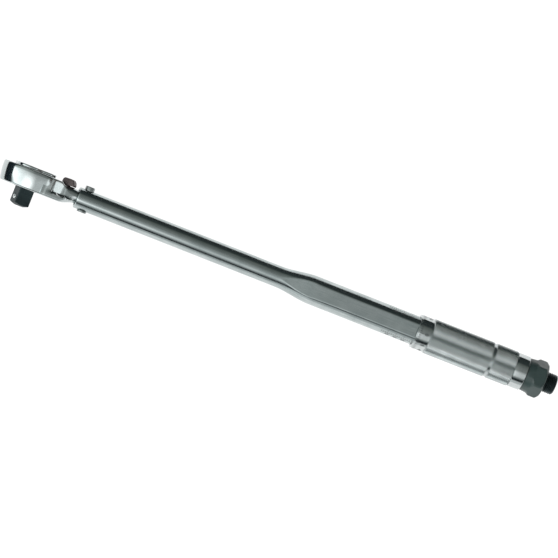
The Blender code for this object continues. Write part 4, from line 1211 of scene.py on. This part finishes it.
@dataclass
class Handle:
    """The knurled grip, its graduated collar, its smooth ring and the threaded stud."""

    # Such grips usually have a finer knurl; this one is drawn as coarse as it needs to show
    knurl_pitch: float = 2.1
    knurl_depth: float = 0.5
    bore: float = 12.3
    spigot: float = 13.1
    groove_from: float = 404.8
    groove_width: float = 2.6
    groove_radius: float = 14.15
    divisions: int = 50
    thread_pitch: float = 1.5
    thread_depth: float = 0.55
    thread_steps: int = 96
    rows_per_pitch: int = 8
    stud_core: float = 6.0
    flank_slope: float = 1.5
    flank_from: float = 0.25
    stud_round: float = 2.3
    knurl_proud: float = 0.05
    knurl_inset: float = 0.6
    knurl_sharp_deg: float = 12.0
    # Edges of the grip and of its groove
    rim: float = 0.45
    rim_drop: float = 0.3
    front_drop: float = 0.9
    end_drop: float = 0.8
    groove_edge: float = 0.35
    groove_wall: float = 0.15
    slip: float = 0.3
    ring_lap: float = 0.1
    ring_edge: float = 0.5
    # The collar's turned hairline, then its marks
    hairline: tuple[float, float, float, float] = (0.8, 0.95, 1.25, 1.4)
    hairline_depth: float = 0.3
    per_number: int = 5
    mark_from: float = 1.7
    long_mark: float = 3.4
    short_mark: float = 2.0
    mark_half: float = 0.016
    number_from: float = 7.8
    number_size: float = 4.2

    def sleeve(self) -> None:
        """Make the grip with its diamond knurl as real diamonds."""
        box = Extent.of("handle_sleeve")
        collar = Extent.of("graduated_collar")
        tip = box.radius + self.knurl_proud
        start, end = collar.high[0] + self.slip, box.high[0]
        around = int(FULL * tip / self.knurl_pitch) * 2
        rings: list[tuple[float, float, bool]] = [
            (box.low[0], self.spigot, False), (start, self.spigot, False),
            (start, tip - self.front_drop, False), (start + self.rim, tip - self.rim_drop, False)]
        groove_end = self.groove_from + self.groove_width
        wall = self.groove_wall
        for low, high in ((start + self.knurl_inset, self.groove_from - self.groove_edge),
                          (groove_end + self.groove_edge, end - self.knurl_inset)):
            rows = int(round((high - low) / (self.knurl_pitch / 2)))
            rings += [(low + (high - low) * i / rows, tip, True) for i in range(rows + 1)]
            if high < groove_end:
                rings += [(self.groove_from, tip - self.groove_edge, False),
                          (self.groove_from + wall, self.groove_radius, False),
                          (groove_end - wall, self.groove_radius, False),
                          (groove_end, tip - self.groove_edge, False)]
        rings += [(end - self.rim, tip - self.rim_drop, False), (end, tip - self.end_drop, False),
                  (end, self.bore, False), (box.low[0], self.bore, False)]
        knurled = [flag for _, _, flag in rings]
        skins = []
        for j, (x, radius, flag) in enumerate(rings):
            ring = []
            for i in range(around):
                drop = self.knurl_depth if flag and (i + j) % 2 == 0 else 0.0
                ring.append(Axis.TOOL.point(x, radius - drop, FULL * i / around))
            skins.append(ring)

        def crossed(row: int, step: int) -> bool | None:
            """Say how a square of the knurl is split, so that each diamond keeps its peak.

            Args:
                row: The ring below the square.
                step: Its place round the ring.

            Returns:
                Which way it is split, or None where there is no knurl.
            """
            if row + 1 < len(knurled) and knurled[row] and knurled[row + 1]:
                return (row + step) % 2 == 0
            return None

        sleeve = skin("knurled_sleeve", skins, closed=True, crossed=crossed)
        sleeve.data.set_sharp_from_angle(angle=math.radians(self.knurl_sharp_deg))
        wear(sleeve, KNURL_CHROME, "knurled_chrome", "handle", "handle_sleeve")

    def collar(self) -> None:
        """Make the graduated collar with its lines and numbers."""
        box = Extent.of("graduated_collar")
        start, end, radius = box.low[0], box.high[0], box.radius
        lap = self.spigot + self.slip
        step = Extent.of("handle_sleeve").low[0] - self.slip
        deep = radius - self.hairline_depth
        line = [start + past for past in self.hairline]
        outside = softened([(self.bore, start), (radius, start), (radius, line[0]), (deep, line[1]),
                            (deep, line[2]), (radius, line[3]), (radius, end), (lap, end)],
                           self.rim_drop, closed=False, steps=4)
        ring = turned("collar_ring", outside + [(lap, step), (self.bore, step)], Axis.TOOL,
                      steps=BROAD_STEPS)
        wear(ring, RING_CHROME, "collar_chrome", "handle", "graduated_collar")
        marks = Engraving(radius, "collar_marks")
        for i in range(self.divisions):
            angle = FULL * i / self.divisions
            numbered = i % self.per_number == 0
            length = self.long_mark if numbered else self.short_mark
            first = start + self.mark_from
            marks.band(first, first + length, angle - self.mark_half, angle + self.mark_half)
            if numbered:
                marks.number(str(i), start + self.number_from, angle, self.number_size, across=True)
        wear(marks.finish(), MARK_PAINT, "black_oxide_steel", "handle")

    def ring(self) -> None:
        """Make the smooth ring behind the grip."""
        box = Extent.of("end_ring")
        start = box.low[0] - self.ring_lap
        profile = softened([(box.radius, start), (box.radius, box.high[0]), (self.bore, box.high[0]),
                            (self.bore, start)], self.ring_edge, steps=4)
        wear(turned("smooth_ring", profile, Axis.TOOL, steps=BROAD_STEPS), RING_CHROME, "collar_chrome",
             "handle", "end_ring")

    def stud(self) -> None:
        """Make the threaded stud with a helical thread and a rounded end."""
        box = Extent.of("end_stud")
        radius, end = box.radius, box.high[0]
        steps, core = self.thread_steps, self.stud_core
        first = Extent.of("end_ring").high[0] - 0.2
        rows = int((end - first) / self.thread_pitch * self.rows_per_pitch)
        rings = [[Axis.TOOL.point(x, r, FULL * i / steps) for i in range(steps)]
                 for x, r in ((box.low[0], core - 0.6), (box.low[0] + 0.6, core), (first, core))]
        round_off = self.stud_round
        for j in range(rows + 1):
            x = first + (end - first) * j / rows
            room = radius
            if x > end - round_off:
                room = radius - round_off + math.sqrt(max(0.0, round_off ** 2 - (x - end + round_off) ** 2))
            ring = []
            for i in range(steps):
                phase = (x / self.thread_pitch - i / steps) % 1.0
                wave = abs(2.0 * phase - 1.0)
                deep = min(1.0, max(0.0, wave * self.flank_slope - self.flank_from))
                flank = radius - self.thread_depth * deep
                ring.append(Axis.TOOL.point(x, min(flank, room), FULL * i / steps))
            rings.append(ring)
        wear(skin("threaded_stud", rings), BLACK_OXIDE, "black_oxide_steel", "handle", "end_stud")

    def build(self) -> None:
        """Make every visible piece of the handle."""
        self.sleeve()
        self.collar()
        self.ring()
        self.stud()


@dataclass
class LockNut:
    """The moulded lock nut: a round collar in front of a rounded hexagon."""

    bore: float = 8.8
    front_radius: float = 13.6
    waist_radius: float = 14.2
    across_flats: float = 27.8
    corner_radius: float = 15.9
    turn_deg: float = 37.1
    flats: int = 6
    steps: int = 288
    # Rounding of the hexagon, then the steps of the profile
    soft: float = 0.4
    waist_at: float = 6.4
    flare: float = 2.2
    end_taper: float = 2.6
    front_edge: tuple[float, float] = (0.4, 0.9)
    slip: float = 0.3
    edge: float = 0.9

    def reach(self, angle: float) -> float:
        """Return the hexagon's radius at an angle, with its corners rounded over.

        Args:
            angle: Turn about the tool's axis in radians.

        Returns:
            The radius there.
        """
        sector = FULL / self.flats
        away = (angle - math.radians(self.turn_deg) + sector / 2) % sector - sector / 2
        flat = self.across_flats / 2 / math.cos(sector / 2 - abs(away))
        gap = flat - self.corner_radius
        if gap < -self.soft:
            return flat
        return self.corner_radius - self.soft * math.exp(-(gap + self.soft) / self.soft)

    def build(self) -> None:
        """Make the nut as a ring of sections, round in front and six-sided behind."""
        box = Extent.of("lock_nut")
        washer = Extent.of("lock_washer")
        start, end = box.low[0], box.high[0]
        waist = start + self.waist_at
        room, bed = washer.radius + self.slip, washer.high[0] + self.slip
        tip = self.corner_radius
        profile = softened([
            (self.front_radius - self.front_edge[0], start),
            (self.front_radius, start + self.front_edge[1]), (self.waist_radius, waist),
            (tip, waist + self.flare), (tip, end - self.end_taper), (tip - self.end_taper, end),
            (self.bore, end), (self.bore, bed), (room, bed), (room, start)], self.edge, steps=5)
        rings = []
        for radius, x in profile:
            rings.append([Axis.TOOL.point(x, min(radius, self.reach(FULL * i / self.steps)),
                                          FULL * i / self.steps) for i in range(self.steps)])
        nut = skin("lock_nut_moulding", rings, closed=True)
        wear(nut, MOULDED_NYLON, "moulded_nut", "nut", "lock_nut")


# ------------------------------------------------------------------ main spring


@dataclass
class MainSpring:
    """The torque spring; on the real tool it shortens as the handle screws its seat in."""

    wire: float = 3.0
    coil: float = 5.0
    turns: int = 12
    per_turn: int = 36
    sides: int = 12

    def build(self) -> None:
        """Wind the wire along the spring's length and tie the spring to the thrust body."""
        box = Extent.of("main_spring")
        first, last = box.low[0] + self.wire / 2, box.high[0] - self.wire / 2
        count = self.turns * self.per_turn
        rings = []
        for i in range(count + 1):
            x, angle = first + (last - first) * i / count, FULL * i / self.per_turn
            rings.append([Axis.TOOL.point(x + self.wire / 2 * math.sin(FULL * k / self.sides),
                                          self.coil + self.wire / 2 * math.cos(FULL * k / self.sides),
                                          angle) for k in range(self.sides)])
        spring = skin("torque_spring", rings)
        wear(spring, SPRING_WIRE, "spring_steel", "thrust", "main_spring")
        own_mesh(spring)


# ------------------------------------------------------------------ pieces kept from the frame


def dress_frame_nodes() -> None:
    """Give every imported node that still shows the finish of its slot."""
    slots = {row["node"]: row["material_slot"] for row in frame["record"]["subparts"]}
    for name, item in frame["nodes"].items():
        material = PAINTS.get(SLOT_FINISHES[slots[name]])
        if not item.material_slots:
            item.data.materials.append(material)
        for place in item.material_slots:
            place.material = material


# ------------------------------------------------------------------ studio


@dataclass(frozen=True)
class Card:
    """A lit or shaded board that only reflections see.

    Its place is the middle of its foot edge, and its shades run from foot to top. A soft
    board fades out towards its rim.
    """

    name: str
    middle: tuple[float, float, float]
    along: tuple[float, float, float]
    rise: tuple[float, float, float]
    low_shade: str
    high_shade: str
    glow: float = 1.0
    soft: float = 0.0


@dataclass
class Studio:
    """White floor, cards round the tool, graded surround, one long light and the camera."""

    # Width of the view at the tool
    view_mm: float = 453.5424
    tilt_deg: float = 8.0
    roll_deg: float = 21.5
    look_x: float = 220.5
    look_lift: float = -1.6
    distance: float = 10.0
    sensor_mm: float = 36.0
    cards: tuple[Card, ...] = (
        Card("card_far", (250.0, 90.0, -26.0), (1100.0, 0.0, 0.0), (0.0, 0.0, 86.0), "1a2122", "3a4242"),
        Card("card_left", (-72.0, 35.0, -20.0), (0.0, 190.0, 0.0), (0.0, 0.0, 47.0), "0e1518", "26323a"),
        Card("card_right", (560.0, 70.0, -8.0), (0.0, 190.0, 0.0), (0.0, 0.0, 150.0), "4c4744", "8d8885"),
        Card("head_glow", (-60.0, -330.0, 470.0), (620.0, 0.0, 0.0), (0.0, 330.0, 60.0),
             "ffffff", "ffffff", 2.4, 0.45),
    )
    bands: tuple[tuple[float, str], ...] = (
        (-90.0, "dfe4e4"), (-72.0, "dfe4e4"), (-66.0, "1c2426"), (-55.0, "242c2e"), (-44.0, "9aa0a0"),
        (-34.0, "f0f4f4"), (-12.0, "f0f4f4"), (5.0, "949997"), (22.0, "8d9290"), (46.0, "6f7571"),
        (60.0, "2e3637"), (90.0, "1c2426"))
    # Gain of the surround beyond the head and behind the handle, and of the bright far window
    left_gain: float = 2.6
    right_gain: float = 0.85
    window_from: float = 0.92
    window_full: float = 0.97
    window_gain: float = 2.0
    gain_to: float = 0.15
    floor_size: float = 8.0
    floor_gap: float = 0.3
    # The broad light, in watts and metres from the view's middle
    broad_power: float = 12.0
    light_size: tuple[float, float] = (1.8, 1.0)
    light_place: tuple[float, float, float] = (-0.5, -0.9, 1.6)
    light_turn_deg: tuple[float, float] = (28.0, -8.0)
    far_limit: float = 50.0

    def floor(self) -> None:
        """Lay the lit white floor so that it touches the head's rim and the lock nut."""
        nut, head = Extent.of("lock_nut"), Extent.of("head_casing")
        low = Vector((0.0, 0.0, head.low[2] - self.floor_gap))
        slope = math.atan2((nut.low[2] - self.floor_gap) - low.z, nut.middle[0])
        bpy.ops.mesh.primitive_plane_add(size=self.floor_size, location=low * MM, rotation=(0.0, -slope, 0.0))
        item = bpy.context.object
        item.name = "floor"
        material = bpy.data.materials.new("backlit_white_acrylic")
        material.use_nodes = True
        shader = material.node_tree.nodes["Principled BSDF"]
        shader.inputs["Base Color"].default_value = linear("5a5a5a")
        shader.inputs["Roughness"].default_value = 0.9
        shader.inputs["Emission Color"].default_value = linear("ffffff")
        shader.inputs["Emission Strength"].default_value = 1.0
        item.data.materials.append(material)

    def stand(self, card: Card) -> None:
        """Stand or hang one card.

        Args:
            card: Its place, its shades from foot to top and how softly it ends.
        """
        along, rise = Vector(card.along) * MM, Vector(card.rise) * MM
        foot = (Vector(card.middle) + Vector((0.0, LIFT, 0.0))) * MM - along / 2
        bm = bmesh.new()
        bm.faces.new([bm.verts.new(spot) for spot in (foot, foot + along, foot + along + rise,
                                                      foot + rise)])
        item = solid(card.name, bm)
        material = bpy.data.materials.new(f"{card.name}_board")
        material.use_nodes = True
        tree = material.node_tree
        place = add_node(tree, "ShaderNodeTexCoord")
        from_foot = add_node(tree, "ShaderNodeVectorMath", {1: foot}, {0: place.outputs["Object"]},
                             operation="SUBTRACT")
        shares = []
        for edge in (along, rise):
            shares.append(add_node(tree, "ShaderNodeVectorMath", {1: edge / edge.length_squared},
                                   {0: from_foot.outputs["Vector"]}, operation="DOT_PRODUCT"))
        shade = add_node(tree, "ShaderNodeMix",
                         {6: linear(card.low_shade), 7: linear(card.high_shade)},
                         {0: shares[1].outputs["Value"]}, data_type="RGBA")
        glow = add_node(tree, "ShaderNodeEmission", {"Strength": card.glow},
                        {"Color": shade.outputs[2]})
        shown = glow.outputs["Emission"]
        if card.soft:
            fades = []
            for share in shares:
                edge = add_node(tree, "ShaderNodeMath", {1: 0.5}, {0: share.outputs["Value"]},
                                operation="SUBTRACT")
                away = add_node(tree, "ShaderNodeMath", {}, {0: edge.outputs["Value"]},
                                operation="ABSOLUTE")
                fades.append(add_node(tree, "ShaderNodeMapRange",
                                      {"From Min": 0.5, "From Max": 0.5 - card.soft},
                                      {"Value": away.outputs["Value"]},
                                      interpolation_type="SMOOTHSTEP"))
            both = add_node(tree, "ShaderNodeMath", {}, {0: fades[0].outputs["Result"],
                                                         1: fades[1].outputs["Result"]},
                            operation="MULTIPLY")
            clear = add_node(tree, "ShaderNodeBsdfTransparent")
            mixed = add_node(tree, "ShaderNodeMixShader", {},
                             {0: both.outputs["Value"], 1: clear.outputs["BSDF"], 2: shown})
            shown = mixed.outputs["Shader"]
        tree.links.new(shown, tree.nodes["Material Output"].inputs["Surface"])
        item.data.materials.append(material)
        item.visible_camera = False
        item.visible_shadow = False
        item.visible_diffuse = False

    def hang(self) -> None:
        """Hang a broad soft light over the tool, for the matt pieces."""
        data = bpy.data.lights.new("broad_light", "AREA")
        data.shape = "RECTANGLE"
        data.size, data.size_y = self.light_size
        data.energy = self.broad_power
        item = bpy.data.objects.new("broad_light", data)
        bpy.context.scene.collection.objects.link(item)
        item.location = Vector((self.look_x * MM, 0.0, 0.0)) + Vector(self.light_place)
        lean, swing = self.light_turn_deg
        item.rotation_euler = (math.radians(lean), 0.0, math.radians(swing))
        item.visible_glossy = False

    def surround(self) -> None:
        """Grade the surround round the tool's axis, and brighten it beyond the head."""
        world = bpy.data.worlds.new("studio")
        bpy.context.scene.world = world
        world.use_nodes = True
        tree = world.node_tree
        place = add_node(tree, "ShaderNodeTexCoord")
        parts = add_node(tree, "ShaderNodeSeparateXYZ", {}, {0: place.outputs["Generated"]})
        angle = add_node(tree, "ShaderNodeMath", {}, {0: parts.outputs["Y"], 1: parts.outputs["Z"]},
                         operation="ARCTAN2")
        share = add_node(tree, "ShaderNodeMapRange", {"From Min": -math.pi / 2, "From Max": math.pi / 2},
                         {"Value": angle.outputs["Value"]})
        ramp = add_node(tree, "ShaderNodeValToRGB", {}, {"Fac": share.outputs["Result"]})
        for place_at, _ in self.bands[1:-1]:
            ramp.color_ramp.elements.new(place_at / 180.0 + 0.5)
        for element, (place_at, code) in zip(ramp.color_ramp.elements, self.bands):
            element.position, element.color = place_at / 180.0 + 0.5, linear(code)
        gain = add_node(tree, "ShaderNodeMapRange",
                        {"From Min": -1.0, "From Max": self.gain_to, "To Min": self.left_gain,
                         "To Max": self.right_gain}, {"Value": parts.outputs["X"]})
        window = add_node(tree, "ShaderNodeMapRange",
                          {"From Min": self.window_from, "From Max": self.window_full, "To Min": 1.0,
                           "To Max": self.window_gain}, {"Value": parts.outputs["X"]})
        strength = add_node(tree, "ShaderNodeMath", {}, {0: gain.outputs["Result"],
                                                         1: window.outputs["Result"]},
                            operation="MULTIPLY")
        ground = tree.nodes["Background"]
        tree.links.new(ramp.outputs["Color"], ground.inputs["Color"])
        tree.links.new(strength.outputs["Value"], ground.inputs["Strength"])

    def camera(self) -> None:
        """Stand the camera above the wrench with a long lens, rolled to the wrench's slant."""
        tilt, roll = math.radians(self.tilt_deg), math.radians(self.roll_deg)
        back = Vector((-math.sin(tilt), 0.0, math.cos(tilt)))
        along = Vector((math.cos(tilt), 0.0, math.sin(tilt)))
        across = Vector((0.0, 1.0, 0.0))
        right = along * math.cos(roll) + across * math.sin(roll)
        up = across * math.cos(roll) - along * math.sin(roll)
        turn = Matrix((right, up, back)).transposed().to_4x4()
        target = Vector((self.look_x, LIFT + self.look_lift, 0.0)) * MM
        data = bpy.data.cameras.new("camera")
        data.sensor_width = self.sensor_mm
        data.lens = self.sensor_mm * self.distance / (self.view_mm * MM)
        data.clip_end = self.far_limit
        item = bpy.data.objects.new("camera", data)
        bpy.context.scene.collection.objects.link(item)
        item.matrix_world = Matrix.Translation(target + back * self.distance) @ turn
        bpy.context.scene.camera = item
        bpy.context.scene.view_settings.view_transform = "Standard"

    def build(self) -> None:
        """Set up the whole studio."""
        self.floor()
        for card in self.cards:
            self.stand(card)
        self.hang()
        self.surround()
        self.camera()


def main() -> None:
    """Build the looks in order."""
    logging.basicConfig(level=logging.INFO, format="%(message)s")
    Studio().build()
    Head().build()
    SquareDrive().build()
    ReversingLever().build()
    TubeBody().build()
    PivotPin().build()
    Handle().build()
    LockNut().build()
    MainSpring().build()
    dress_frame_nodes()


if __name__ == "__main__":
    main()
